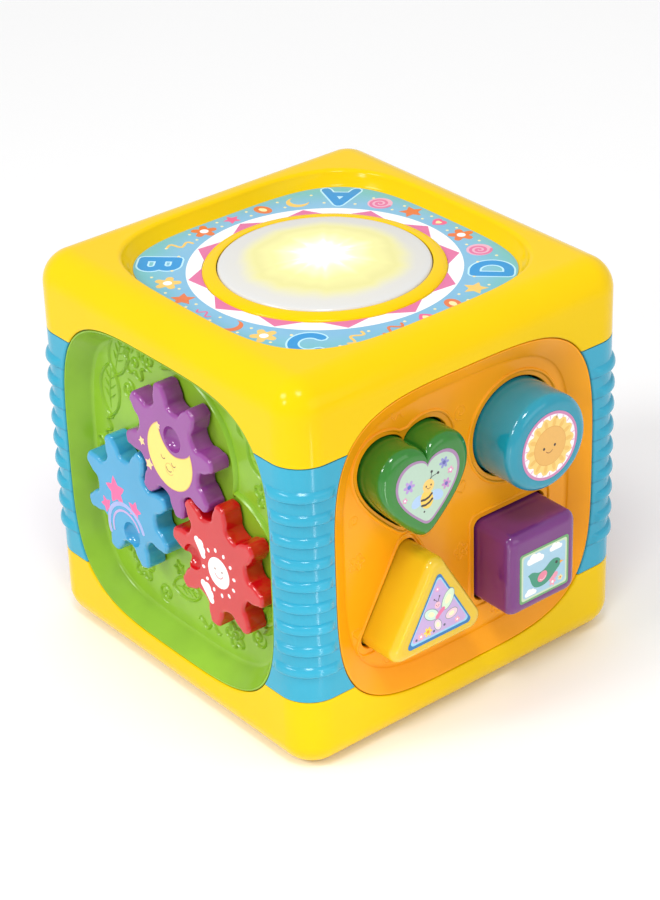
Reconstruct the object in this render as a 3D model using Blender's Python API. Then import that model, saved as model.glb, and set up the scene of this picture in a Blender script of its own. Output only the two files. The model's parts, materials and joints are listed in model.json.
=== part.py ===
"""Baby activity cube: a hollow plastic cube that stands free, with a light-up drum on top, three meshing gears on one
side, a four-shape block sorter on the next, a door to get the blocks out and a sound panel. Metres, +Z up."""

import math

import bmesh
import bpy
from mathutils import Matrix, Vector

MM = 0.001

# Housing, in millimetres like every size below. The cube is centred on the Z axis and stands on z = 0.
CUBE_HALF = 100.0
CUBE_HEIGHT = 200.0
CORNER_RADIUS = 17.0
TOP_FILLET = 16.0
BOTTOM_FILLET = 14.0
SHELL = 3.0
LOWER_PARTING_Z = 39.0
UPPER_PARTING_Z = 161.0
PARTING_GAP = 0.4

# Openings of the four sides and of the top: squares with swollen sides.
PANEL_HALF = 79.0
PANEL_EXPONENT = 3.8
PANEL_CENTRE_Z = 100.0
SIDE_GAP = 0.35
WELL_HALF = 83.0
WELL_FLOOR_Z = 192.3
WELL_FLOOR_THICKNESS = 2.6
COLLAR_RADIUS = 64.0
COLLAR_END_Z = 186.4
QUARTER = 10  # points of a squircle in one quarter turn

# Grip ribs of the corner posts
RIB_COUNT = 9
RIB_PITCH = 11.4
RIB_FIRST_Z = 49.2
RIB_HEIGHT = 2.4
RIB_SHAPE = ((0.0, 0.0), (0.24, RIB_HEIGHT), (0.76, RIB_HEIGHT))

# Drum on top
DRUM_RADIUS = 50.4
DRUM_TRAVEL = 3.0
RING_OUTER_RADIUS = 57.5
RING_TOP_Z = 195.2
DRUM_EDGE_Z = 195.6
DRUM_TOP_Z = 199.2

# Gear side, facing -Y
GEAR_FLOOR = 88.0
GEAR_FLOOR_HALF = 72.0
GEAR_TEETH = 8
GEAR_CENTRE_DISTANCE = 57.3
GEAR_TIP_RADIUS = 33.9
GEAR_ROOT_RADIUS = 23.0
GEAR_PRESSURE_ANGLE = math.radians(28.0)
GEAR_TOOTH_THICKNESS = 10.0
GEAR_BACK = 88.7
GEAR_FRONT = 99.3
PURPLE_GEAR = (4.2, 133.0)
RED_DIRECTION = math.radians(-54.9)
BLUE_DIRECTION = math.radians(-130.7)
PURPLE_PHASE = math.radians(-80.4)
DIMPLE_RADIUS = 6.6

# Sorter side, facing +X
SORTER_FLOOR = 92.0
SORTER_FLOOR_HALF = 69.0
HOLE_CLEARANCE = 0.8
BLOCK_LENGTH = 45.0
BLOCK_ROUNDING = 5.0
BLOCK_WALL = 2.2

# Back and left sides
PLAIN_FLOOR = 92.0
PLAIN_FLOOR_HALF = 69.0
DOOR_HALF_WIDTH = 50.0
DOOR_HALF_HEIGHT = 46.0
DOOR_CENTRE_Z = 92.0
DOOR_THICKNESS = 3.0
HINGE_RADIUS = 3.2
HINGE_PIN_RADIUS = 1.25

# Colours
YELLOW = (0.93, 0.68, 0.01)
SKY_BLUE = (0.11, 0.48, 0.70)
LIME = (0.33, 0.62, 0.05)
ORANGE = (0.93, 0.33, 0.02)
PURPLE = (0.36, 0.10, 0.42)
RED = (0.66, 0.03, 0.04)
BRIGHT_BLUE = (0.06, 0.42, 0.72)
GREEN = (0.06, 0.35, 0.07)
TEAL = (0.02, 0.40, 0.55)
LEMON = (0.85, 0.66, 0.03)
VIOLET = (0.28, 0.08, 0.36)
MILK_WHITE = (0.82, 0.84, 0.86)
STEEL = (0.55, 0.56, 0.58)
BOARD_GREEN = (0.03, 0.22, 0.08)
CHARCOAL = (0.05, 0.05, 0.06)
PALE_GREY = (0.62, 0.63, 0.65)


def clear_scene():
    for thing in list(bpy.data.objects):
        bpy.data.objects.remove(thing, do_unlink=True)


def material(name, colour, roughness=0.25, metallic=0.0):
    made = bpy.data.materials.new(name)
    made.use_nodes = True
    shader = made.node_tree.nodes["Principled BSDF"]
    shader.inputs["Base Color"].default_value = (*colour, 1.0)
    shader.inputs["Roughness"].default_value = roughness
    shader.inputs["Metallic"].default_value = metallic
    return made


def shade(mesh):
    """Smooth shading that keeps the true edges sharp."""
    mesh.shade_smooth()
    mesh.set_sharp_from_angle(angle=math.radians(35))


def new_object(name, points, faces, colour=PALE_GREY, roughness=0.25, metallic=0.0):
    """An object from points in millimetres, with its faces turned outwards."""
    mesh = bpy.data.meshes.new(name)
    mesh.from_pydata([Vector(point) * MM for point in points], [], faces)
    made = bmesh.new()
    made.from_mesh(mesh)
    bmesh.ops.recalc_face_normals(made, faces=made.faces)
    made.to_mesh(mesh)
    made.free()
    shade(mesh)
    thing = bpy.data.objects.new(name, mesh)
    bpy.context.collection.objects.link(thing)
    thing.data.materials.append(material(name + "_finish", colour, roughness, metallic))
    return thing


def loft(name, rings, looped=False, **look):
    """A closed skin through rings of equal point counts: capped at both ends, or looped back on itself."""
    count = len(rings[0])
    points = [point for ring in rings for point in ring]
    faces = []
    last = len(rings) if looped else len(rings) - 1
    for i in range(last):
        a = i * count
        b = ((i + 1) % len(rings)) * count
        for k in range(count):
            n = (k + 1) % count
            faces.append((a + k, a + n, b + n, b + k))
    if not looped:
        faces.append(tuple(range(count)))
        faces.append(tuple(range((len(rings) - 1) * count, len(rings) * count)))
    return new_object(name, points, faces, **look)


def at_height(outline, z):
    return [(x, y, z) for x, y in outline]


def turned(name, profile, count=32, centre=(0.0, 0.0), looped=False, **look):
    """A body turned about Z from (radius, z) pairs. A radius of zero makes a point on the axis."""
    points = []
    rows = []
    for radius, z in profile:
        if radius == 0.0:
            rows.append([len(points)] * count)
            points.append((centre[0], centre[1], z))
            continue
        rows.append(list(range(len(points), len(points) + count)))
        for k in range(count):
            angle = 2 * math.pi * k / count
            x = centre[0] + radius * math.cos(angle)
            y = centre[1] + radius * math.sin(angle)
            points.append((x, y, z))
    faces = []
    last = len(rows) if looped else len(rows) - 1
    for i in range(last):
        upper = rows[i]
        lower = rows[(i + 1) % len(rows)]
        for k in range(count):
            n = (k + 1) % count
            face = []
            for corner in (upper[k], upper[n], lower[n], lower[k]):
                if corner not in face:
                    face.append(corner)
            if len(face) > 2:
                faces.append(tuple(face))
    if not looped and profile[0][0] > 0.0:
        faces.append(tuple(rows[0]))
    if not looped and profile[-1][0] > 0.0:
        faces.append(tuple(rows[-1]))
    return new_object(name, points, faces, **look)


def cylinder(name, radius, z0, z1, centre=(0.0, 0.0), count=24, **look):
    return turned(name, [(radius, z0), (radius, z1)], count, centre, **look)


def box(name, low, high, **look):
    outline = [(low[0], low[1]), (high[0], low[1]), (high[0], high[1]), (low[0], high[1])]
    return loft(name, [at_height(outline, low[2]), at_height(outline, high[2])], **look)


def apply_boolean(thing, other, operation):
    """Cuts other from thing, joins it on, or keeps what they share. The other object is then removed."""
    change = thing.modifiers.new(operation.lower(), "BOOLEAN")
    change.operation = operation
    change.solver = "EXACT"
    change.object = other
    bpy.context.view_layer.update()
    graph = bpy.context.evaluated_depsgraph_get()
    kept = list(thing.data.materials)
    mesh = bpy.data.meshes.new_from_object(thing.evaluated_get(graph))
    thing.modifiers.clear()
    thing.data = mesh
    mesh.materials.clear()
    mesh.materials.append(kept[0])
    mesh.polygons.foreach_set("material_index", [0] * len(mesh.polygons))
    shade(mesh)
    bpy.data.objects.remove(other, do_unlink=True)
    return thing


def cut(thing, *cutters):
    for cutter in cutters:
        apply_boolean(thing, cutter, "DIFFERENCE")
    return thing


def join(thing, *others):
    for other in others:
        apply_boolean(thing, other, "UNION")
    return thing


SIDES = {
    "gear": Matrix.Rotation(math.radians(90), 4, "X"),
    "sorter": Matrix.Rotation(math.radians(90), 4, "Z") @ Matrix.Rotation(math.radians(90), 4, "X"),
    "back": Matrix.Rotation(math.radians(180), 4, "Z") @ Matrix.Rotation(math.radians(90), 4, "X"),
    "left": Matrix.Rotation(math.radians(270), 4, "Z") @ Matrix.Rotation(math.radians(90), 4, "X"),
}


def stand_on_side(thing, side, across=0.0, height=0.0, out=0.0):
    """Places a piece drawn in a side's own frame: X across the side, Y up and Z out of the cube."""
    turn = SIDES[side]
    spot = turn @ Vector((across * MM, height * MM, out * MM))
    thing.matrix_world = Matrix.Translation(spot) @ turn
    return thing


def squircle(half, exponent=PANEL_EXPONENT, quarter=QUARTER, centre=(0.0, 0.0), offset=0.0):
    """A square with swollen sides, as points starting at the middle of the +X side or this share of a step past it."""
    outline = []
    for k in range(4 * quarter):
        angle = 0.5 * math.pi * (k + offset) / quarter
        c = math.cos(angle)
        s = math.sin(angle)
        x = half * math.copysign(abs(c) ** (2 / exponent), c)
        y = half * math.copysign(abs(s) ** (2 / exponent), s)
        outline.append((centre[0] + (x if abs(c) > 1e-9 else 0.0), centre[1] + (y if abs(s) > 1e-9 else 0.0)))
    return outline


def rounded_square(half, radius, quarter=QUARTER):
    """A square with round corners that has the same point count and start as a squircle."""
    outline = []
    for q in range(4):
        turn = 0.5 * math.pi * q
        row = [(half, 0.0)]
        for k in range(quarter - 1):
            angle = 0.5 * math.pi * k / (quarter - 2)
            row.append((half - radius + radius * math.cos(angle), half - radius + radius * math.sin(angle)))
        for x, y in row:
            outline.append((x * math.cos(turn) - y * math.sin(turn), x * math.sin(turn) + y * math.cos(turn)))
    return outline


def circle(radius, count, start=0.0, centre=(0.0, 0.0)):
    turns = [start + 2 * math.pi * k / count for k in range(count)]
    return [(centre[0] + radius * math.cos(a), centre[1] + radius * math.sin(a)) for a in turns]


def scaled(outline, across, up, centre=(0.0, 0.0)):
    return [(centre[0] + (x - centre[0]) * across, centre[1] + (y - centre[1]) * up) for x, y in outline]


def side_squircle(half):
    """The outline of a side opening. No point lies on the middle of a side, so none meets a point of the housing."""
    return squircle(half, offset=0.5)


def side_cutter():
    """Two crossing prisms with the outline of the side openings, which cut all four at once."""
    outline = side_squircle(PANEL_HALF + SIDE_GAP)
    cutters = []
    for side in ("gear", "sorter"):
        rings = [at_height(outline, -130.0), at_height(outline, 130.0)]
        cutter = loft("side_cutter_" + side, rings)
        stand_on_side(cutter, side, height=PANEL_CENTRE_Z)
        cutters.append(cutter)
    return cutters


def build_top_cap():
    rings = [at_height(rounded_square(CUBE_HALF, CORNER_RADIUS), UPPER_PARTING_Z + PARTING_GAP / 2)]
    fillet_z = CUBE_HEIGHT - TOP_FILLET
    for k in range(6):
        angle = 0.5 * math.pi * k / 5
        inset = TOP_FILLET * (1 - math.cos(angle))
        outline = rounded_square(CUBE_HALF - inset, max(CORNER_RADIUS - inset, 1.2))
        rings.append(at_height(outline, fillet_z + TOP_FILLET * math.sin(angle)))
    lip = [(WELL_HALF, 200.0), (WELL_HALF - 0.9, 199.7), (WELL_HALF - 1.7, 198.9), (WELL_HALF - 2.1, 197.6)]
    wall = [(WELL_HALF - 4.7, WELL_FLOOR_Z + 1.4), (WELL_HALF - 5.6, WELL_FLOOR_Z)]
    for half, z in lip + wall:
        rings.append(at_height(squircle(half), z))
    hole = circle(DRUM_RADIUS + 0.8, 4 * QUARTER)
    rings.append(at_height(hole, WELL_FLOOR_Z))
    rings.append(at_height(hole, COLLAR_END_Z))
    collar = circle(COLLAR_RADIUS, 4 * QUARTER)
    rings.append(at_height(collar, COLLAR_END_Z))
    rings.append(at_height(collar, WELL_FLOOR_Z - WELL_FLOOR_THICKNESS))
    rings.append(at_height(squircle(WELL_HALF - 2.4), WELL_FLOOR_Z - WELL_FLOOR_THICKNESS))
    rings.append(at_height(squircle(WELL_HALF + 0.9), 194.0))
    inner = TOP_FILLET - SHELL
    for degrees in (50, 25, 0):
        angle = math.radians(degrees)
        half = CUBE_HALF - TOP_FILLET + inner * math.cos(angle)
        outline = rounded_square(half, CORNER_RADIUS - SHELL)
        rings.append(at_height(outline, fillet_z + inner * math.sin(angle)))
    inner_outline = rounded_square(CUBE_HALF - SHELL, CORNER_RADIUS - SHELL)
    rings.append(at_height(inner_outline, UPPER_PARTING_Z + PARTING_GAP / 2))
    cap = loft("top_cap", rings, looped=True, colour=YELLOW, roughness=0.12)
    return cut(cap, *side_cutter())


def build_bottom_cap():
    rings = []
    for k in range(6):
        angle = 0.5 * math.pi * (5 - k) / 5
        inset = BOTTOM_FILLET * (1 - math.cos(angle))
        outline = rounded_square(CUBE_HALF - inset, max(CORNER_RADIUS - inset, 3.0))
        rings.append(at_height(outline, BOTTOM_FILLET * (1 - math.sin(angle))))
    top_z = LOWER_PARTING_Z - PARTING_GAP / 2
    rings.append(at_height(rounded_square(CUBE_HALF, CORNER_RADIUS), top_z))
    rings.append(at_height(rounded_square(CUBE_HALF - SHELL, CORNER_RADIUS - SHELL), top_z))
    inner = BOTTOM_FILLET - SHELL
    for k in range(4):
        angle = 0.5 * math.pi * k / 3
        inset = inner * (1 - math.cos(angle))
        outline = rounded_square(CUBE_HALF - SHELL - inset, max(CORNER_RADIUS - SHELL - inset, 3.0))
        rings.append(at_height(outline, BOTTOM_FILLET - inner * math.sin(angle)))
    cap = loft("bottom_cap", rings, colour=YELLOW, roughness=0.12)
    cap = cut(cap, *side_cutter())
    low, high = battery_opening(0.3)
    return cut(cap, box("battery_hole", (*low, -5.0), (*high, 12.0)))


def battery_opening(gap):
    """Corners of the battery door's opening, off to one side of the cube's middle."""
    return (-76.0 - gap, -34.0 - gap), (-12.0 + gap, 34.0 + gap)


def opening_half_width(z):
    """Half the width of a side opening at this height."""
    half = PANEL_HALF + SIDE_GAP
    rise = abs(z - PANEL_CENTRE_Z) / half
    return half * (1 - rise ** PANEL_EXPONENT) ** (1 / PANEL_EXPONENT)


def post_outline(z, swell):
    """The section of a corner post between two side openings, with its rib standing out most at the corner."""
    edge = opening_half_width(z)
    middle = CUBE_HALF - CORNER_RADIUS
    half_way = (edge + middle) / 2
    outline = [(CUBE_HALF + 0.3 * swell, edge), (CUBE_HALF + 0.6 * swell, half_way)]
    for k in range(5):
        angle = 0.5 * math.pi * k / 4
        reach = CORNER_RADIUS + swell * (0.8 + 0.2 * math.sin(2 * angle))
        outline.append((middle + reach * math.cos(angle), middle + reach * math.sin(angle)))
    outline += [(half_way, CUBE_HALF + 0.6 * swell), (edge, CUBE_HALF + 0.3 * swell)]
    outline.append((edge, CUBE_HALF - SHELL))
    for k in range(3):
        angle = 0.25 * math.pi * (2 - k)
        reach = CORNER_RADIUS - SHELL
        outline.append((middle + reach * math.cos(angle), middle + reach * math.sin(angle)))
    outline.append((CUBE_HALF - SHELL, edge))
    return outline


def build_posts():
    low = LOWER_PARTING_Z + PARTING_GAP / 2
    high = UPPER_PARTING_Z - PARTING_GAP / 2
    levels = [(low, 0.0)]
    for k in range(RIB_COUNT):
        levels += [(RIB_FIRST_Z + RIB_PITCH * (k + part), swell) for part, swell in RIB_SHAPE]
    levels.append((RIB_FIRST_Z + RIB_PITCH * RIB_COUNT, 0.0))
    levels.append((high, 0.0))
    corners = {"post_back_right": (1, 1), "post_back_left": (-1, 1),
               "post_front_right": (1, -1), "post_front_left": (-1, -1)}
    for name, (side_x, side_y) in corners.items():
        rings = []
        for z, swell in levels:
            rings.append([(x * side_x, y * side_y, z) for x, y in post_outline(z, swell)])
        loft(name, rings, colour=SKY_BLUE, roughness=0.25)


def dish(name, floor, floor_half, colour):
    """A side panel: a recessed floor, sloping walls and a flange that lies behind the housing."""
    rise = 99.4 - floor
    run = PANEL_HALF - 0.6 - floor_half
    rings = [at_height(side_squircle(floor_half), floor)]
    for across, up in ((0.2, 0.05), (0.42, 0.25), (0.95, 0.97)):
        rings.append(at_height(side_squircle(floor_half + run * across), floor + rise * up))
    rim = [(PANEL_HALF - 0.1, 99.4), (PANEL_HALF, 98.9), (PANEL_HALF, 96.6), (83.0, 96.6), (83.0, 94.4)]
    back = [(PANEL_HALF + 1.2, 94.4), (floor_half + 2.2, floor - 2.5)]
    for half, out in rim + back:
        rings.append(at_height(side_squircle(half), out))
    return loft(name, rings, colour=colour, roughness=0.2)


def involute(angle):
    return math.tan(angle) - angle


def gear_outline(phase, shrink=0.0):
    """The outline of a gear with rounded involute teeth, one tooth centred on the angle phase."""
    pitch = GEAR_CENTRE_DISTANCE / 2
    base = pitch * math.cos(GEAR_PRESSURE_ANGLE)
    half_at_pitch = GEAR_TOOTH_THICKNESS / 2 / pitch + involute(GEAR_PRESSURE_ANGLE)

    def half_tooth(radius):
        if radius <= base:
            return half_at_pitch
        return half_at_pitch - involute(math.acos(base / radius))

    step = 2 * math.pi / GEAR_TEETH
    side = []
    for k in range(2):
        turn = 0.5 * math.pi * k / 2
        radius = GEAR_ROOT_RADIUS + (base - GEAR_ROOT_RADIUS) * (1 - math.cos(turn))
        side.append((radius, step / 2 - (step / 2 - half_tooth(base)) * math.sin(turn)))
    last = GEAR_TIP_RADIUS - 1.9
    for k in range(3):
        radius = base + (last - base) * k / 2
        side.append((radius, half_tooth(radius)))
    for k in range(1, 3):
        turn = 0.5 * math.pi * k / 2
        flat = 0.022
        angle = flat + (half_tooth(last) - flat) * math.cos(turn)
        side.append((last + (GEAR_TIP_RADIUS - last) * math.sin(turn), angle))
    outline = []
    for tooth in range(GEAR_TEETH):
        middle = phase + tooth * step
        for radius, angle in side:
            outline.append((radius * math.cos(middle - angle), radius * math.sin(middle - angle)))
        for radius, angle in reversed(side[1:]):
            outline.append((radius * math.cos(middle + angle), radius * math.sin(middle + angle)))
    return inset_outline(outline, shrink) if shrink else outline


def inset_outline(outline, depth):
    """Moves each point of an anticlockwise outline inwards, square to its neighbours."""
    moved = []
    count = len(outline)
    for k, (x, y) in enumerate(outline):
        before = Vector(outline[k - 1])
        after = Vector(outline[(k + 1) % count])
        along = (after - before).normalized()
        moved.append((x - along.y * depth, y + along.x * depth))
    return moved


def build_gear(colour_name, colour, centre, phase, dimple):
    """A gear, the washer and the screw that hold it from behind, all on its axis."""
    name = colour_name + "_gear"
    thickness = GEAR_FRONT - GEAR_BACK
    edges = [(0.0, 0.0), (0.0, thickness - 1.4), (0.45, thickness - 0.45), (1.4, thickness)]
    rings = [at_height(gear_outline(phase, shrink), z) for shrink, z in edges]
    gear = loft(name, rings, colour=colour, roughness=0.3)
    bowl = [(0.0, thickness - 4.2), (3.6, thickness - 3.7), (5.6, thickness - 2.0)]
    bowl += [(DIMPLE_RADIUS, thickness), (DIMPLE_RADIUS + 0.8, thickness + 1.5)]
    gear = cut(gear, turned("bowl", bowl, 20, dimple))
    hub = cylinder("hub", 5.2, 2.0, -6.0, count=16)
    gear = join(gear, hub)
    gear = cut(gear, cylinder("pilot", 1.45, -8.0, 1.0, count=12))
    washer_profile = [(1.9, -7.4), (8.2, -7.4), (8.2, -6.3), (1.9, -6.3)]
    washer = turned(colour_name + "_gear_washer", washer_profile, 16, looped=True,
                    colour=STEEL, roughness=0.3, metallic=1.0)
    screw_profile = [(0.0, -9.6), (2.6, -9.6), (3.3, -8.6), (3.3, -7.7), (1.2, -7.7), (1.2, -0.6), (0.0, 0.0)]
    screw = turned(colour_name + "_gear_screw", screw_profile, 10, colour=STEEL, roughness=0.3, metallic=1.0)
    for piece in (gear, washer, screw):
        stand_on_side(piece, "gear", centre[0], centre[1], GEAR_BACK)


def gear_centres():
    x, z = PURPLE_GEAR
    centres = {"purple": PURPLE_GEAR}
    for name, direction in (("red", RED_DIRECTION), ("blue", BLUE_DIRECTION)):
        across = x + GEAR_CENTRE_DISTANCE * math.cos(direction)
        centres[name] = (across, z + GEAR_CENTRE_DISTANCE * math.sin(direction))
    return centres


def meshing_phase(direction):
    """The phase of a gear in this direction from the purple one whose teeth fall in the purple one's gaps."""
    step = 2 * math.pi / GEAR_TEETH
    return direction + math.pi + step / 2 - (PURPLE_PHASE - direction)


def build_gear_side():
    centres = gear_centres()
    panel = dish("gear_panel", GEAR_FLOOR, GEAR_FLOOR_HALF, LIME)
    for name, (x, z) in centres.items():
        spot = (x, z - PANEL_CENTRE_Z)
        collar = turned("collar", [(9.0, GEAR_FLOOR - 5.0), (9.0, GEAR_FLOOR - 1.0)], 20, spot)
        panel = join(panel, collar)
        panel = cut(panel, cylinder("bore", 5.6, GEAR_FLOOR - 9.0, GEAR_FLOOR + 5.0, spot))
    for name, start, stop in (("purple", -8, 100), ("red", -60, 58)):
        x, z = centres[name]
        panel = join(panel, arc_ridge((x, z - PANEL_CENTRE_Z), 40.5, start, stop, GEAR_FLOOR))
    stand_on_side(panel, "gear", height=PANEL_CENTRE_Z)
    build_gear("purple", PURPLE, centres["purple"], PURPLE_PHASE, (4.5, 8.5))
    build_gear("red", RED, centres["red"], meshing_phase(RED_DIRECTION), (-18.0, -2.6))
    build_gear("blue", BRIGHT_BLUE, centres["blue"], meshing_phase(BLUE_DIRECTION), (3.2, -16.4))


def arc_ridge(centre, radius, start, stop, floor):
    """A low round ridge along an arc, standing on a panel's floor."""
    rings = []
    pieces = 14
    for k in range(pieces + 1):
        angle = math.radians(start + (stop - start) * k / pieces)
        size = 1.0 if 0 < k < pieces else 0.3
        section = [(-1.6, -0.6), (-1.1, 0.5), (0.0, 0.95), (1.1, 0.5), (1.6, -0.6)]
        ring = []
        for across, up in section:
            reach = radius + across * size
            x = centre[0] + reach * math.cos(angle)
            y = centre[1] + reach * math.sin(angle)
            ring.append((x, y, floor + (up * size if up > 0 else up)))
        rings.append(ring)
    return loft("ridge", rings)


def bezier(points, steps):
    """Points along a cubic curve, the first left out."""
    made = []
    for k in range(1, steps + 1):
        t = k / steps
        weights = ((1 - t) ** 3, 3 * t * (1 - t) ** 2, 3 * t * t * (1 - t), t ** 3)
        x = sum(w * p[0] for w, p in zip(weights, points))
        y = sum(w * p[1] for w, p in zip(weights, points))
        made.append((x, y))
    return made


def heart_outline(width, height):
    """A heart centred on its own box, anticlockwise from the notch."""
    curves = [
        [(0.0, 0.37), (0.02, 0.45), (0.11, 0.5), (0.225, 0.5)],
        [(0.225, 0.5), (0.38, 0.5), (0.5, 0.37), (0.5, 0.19)],
        [(0.5, 0.19), (0.5, -0.05), (0.26, -0.30), (0.085, -0.46)],
        [(0.085, -0.46), (0.05, -0.49), (0.02, -0.5), (0.0, -0.5)],
    ]
    half = [(0.0, 0.37)]
    for points, steps in zip(curves, (3, 5, 5, 2)):
        half += bezier(points, steps)
    other = [(-x, y) for x, y in reversed(half[1:-1])]
    outline = [(x * width, y * height) for x, y in half + other]
    return outline[::-1]


def triangle_outline(width, height, rounding=6.0):
    """A triangle with round corners, point up, centred on its own box."""
    half_base = width / 2 - rounding
    inner_height = height - 2 * rounding
    corners = [(-half_base, -inner_height / 2), (half_base, -inner_height / 2), (0.0, inner_height / 2)]
    outline = []
    for k, (x, y) in enumerate(corners):
        before = Vector(corners[k - 1])
        here = Vector((x, y))
        after = Vector(corners[(k + 1) % 3])
        into = here - before
        out = after - here
        first = math.atan2(-into.x, into.y)
        last = math.atan2(-out.x, out.y)
        while last < first:
            last += 2 * math.pi
        for j in range(6):
            angle = first + (last - first) * j / 5
            outline.append((x + rounding * math.cos(angle), y + rounding * math.sin(angle)))
    return outline


def square_outline(width, height, rounding=4.6, steps=4):
    outline = []
    for k, (sx, sy) in enumerate(((1, 1), (-1, 1), (-1, -1), (1, -1))):
        for j in range(steps + 1):
            angle = 0.5 * math.pi * (k + j / steps)
            x = sx * (width / 2 - rounding) + rounding * math.cos(angle)
            y = sy * (height / 2 - rounding) + rounding * math.sin(angle)
            outline.append((x, y))
    return outline


def round_outline(width, height):
    return scaled(circle(0.5, 30), width, height)


# Each block: outline, width, height, centre across and up its side, front face from the cube's middle, colour,
# and its label's width, height and rise above the block's middle.
BLOCKS = {
    "heart": (heart_outline, 52.4, 48.8, (-32.2, 131.2), 108.2, GREEN, (37.6, 34.4, 0.6)),
    "circle": (round_outline, 48.6, 48.6, (34.8, 132.2), 116.2, TEAL, (34.4, 34.4, -0.4)),
    "triangle": (triangle_outline, 54.0, 47.6, (-31.6, 73.8), 114.2, LEMON, (38.0, 33.6, -0.6)),
    "square": (square_outline, 42.8, 43.4, (32.4, 68.2), 116.0, VIOLET, (31.2, 27.0, -2.2)),
}


def block_ring(shape, width, height, inset, z):
    return at_height(shape(width, height), z) if inset == 0 else at_height(
        scaled(shape(width, height), 1 - 2 * inset / width, 1 - 2 * inset / height), z)


def build_block(name, shape, width, height, centre, front, colour, label):
    """A hollow block with a rounded front, the plate that closes its back, and the label on its front."""
    rings = []
    rounding = BLOCK_ROUNDING
    for k in range(4):
        angle = 0.5 * math.pi * (3 - k) / 3
        rings.append(block_ring(shape, width, height, rounding * (1 - math.cos(angle)),
                                -rounding + rounding * math.sin(angle)))
    back = -BLOCK_LENGTH
    rings.append(block_ring(shape, width, height, 0, back + 0.6))
    rings.append(block_ring(shape, width, height, 0.6, back))
    rings.append(block_ring(shape, width, height, BLOCK_WALL, back))
    rings.append(block_ring(shape, width, height, BLOCK_WALL, -rounding - 0.5))
    rings.append(block_ring(shape, width, height, BLOCK_WALL + 3.0, -3.0))
    block = loft(name + "_block", rings, colour=colour, roughness=0.2)
    plate_rings = [block_ring(shape, width, height, BLOCK_WALL + 0.35, back + 0.3)]
    plate_rings.append(block_ring(shape, width, height, BLOCK_WALL + 0.35, back + 2.3))
    plate = loft(name + "_block_base", plate_rings, colour=colour, roughness=0.35)
    label_width, label_height, rise = label
    outline = [(x, y + rise) for x, y in shape(label_width, label_height)]
    sticker = loft(name + "_block_label", [at_height(outline, 0.06), at_height(outline, 0.24)],
                   colour=MILK_WHITE, roughness=0.4)
    for piece in (block, plate, sticker):
        stand_on_side(piece, "sorter", centre[0], centre[1], front)


def build_sorter_side():
    panel = dish("sorter_panel", SORTER_FLOOR, SORTER_FLOOR_HALF, ORANGE)
    for shape, width, height, (y, z), front, colour, label in BLOCKS.values():
        middle = (y, z - PANEL_CENTRE_Z)
        rim = []
        for grow, up in ((3.0, -0.8), (3.3, 0.7), (4.4, 0.7), (4.8, -0.8)):
            outline = shape(width + 2 * grow, height + 2 * grow)
            rim.append([(x + middle[0], w + middle[1], SORTER_FLOOR + up) for x, w in outline])
        panel = join(panel, loft("rim", rim, looped=True))
        hole = shape(width + 2 * HOLE_CLEARANCE, height + 2 * HOLE_CLEARANCE)
        rings = [[(x + middle[0], w + middle[1], out) for x, w in hole] for out in (80.0, 110.0)]
        panel = cut(panel, loft("hole", rings))
    stand_on_side(panel, "sorter", height=PANEL_CENTRE_Z)
    for name, values in BLOCKS.items():
        build_block(name, *values)


def rounded_box_outline(half_width, half_height, rounding, centre=(0.0, 0.0)):
    outline = square_outline(2 * half_width, 2 * half_height, rounding, 4 if rounding > 3.0 else 2)
    return [(x + centre[0], y + centre[1]) for x, y in outline]


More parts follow.
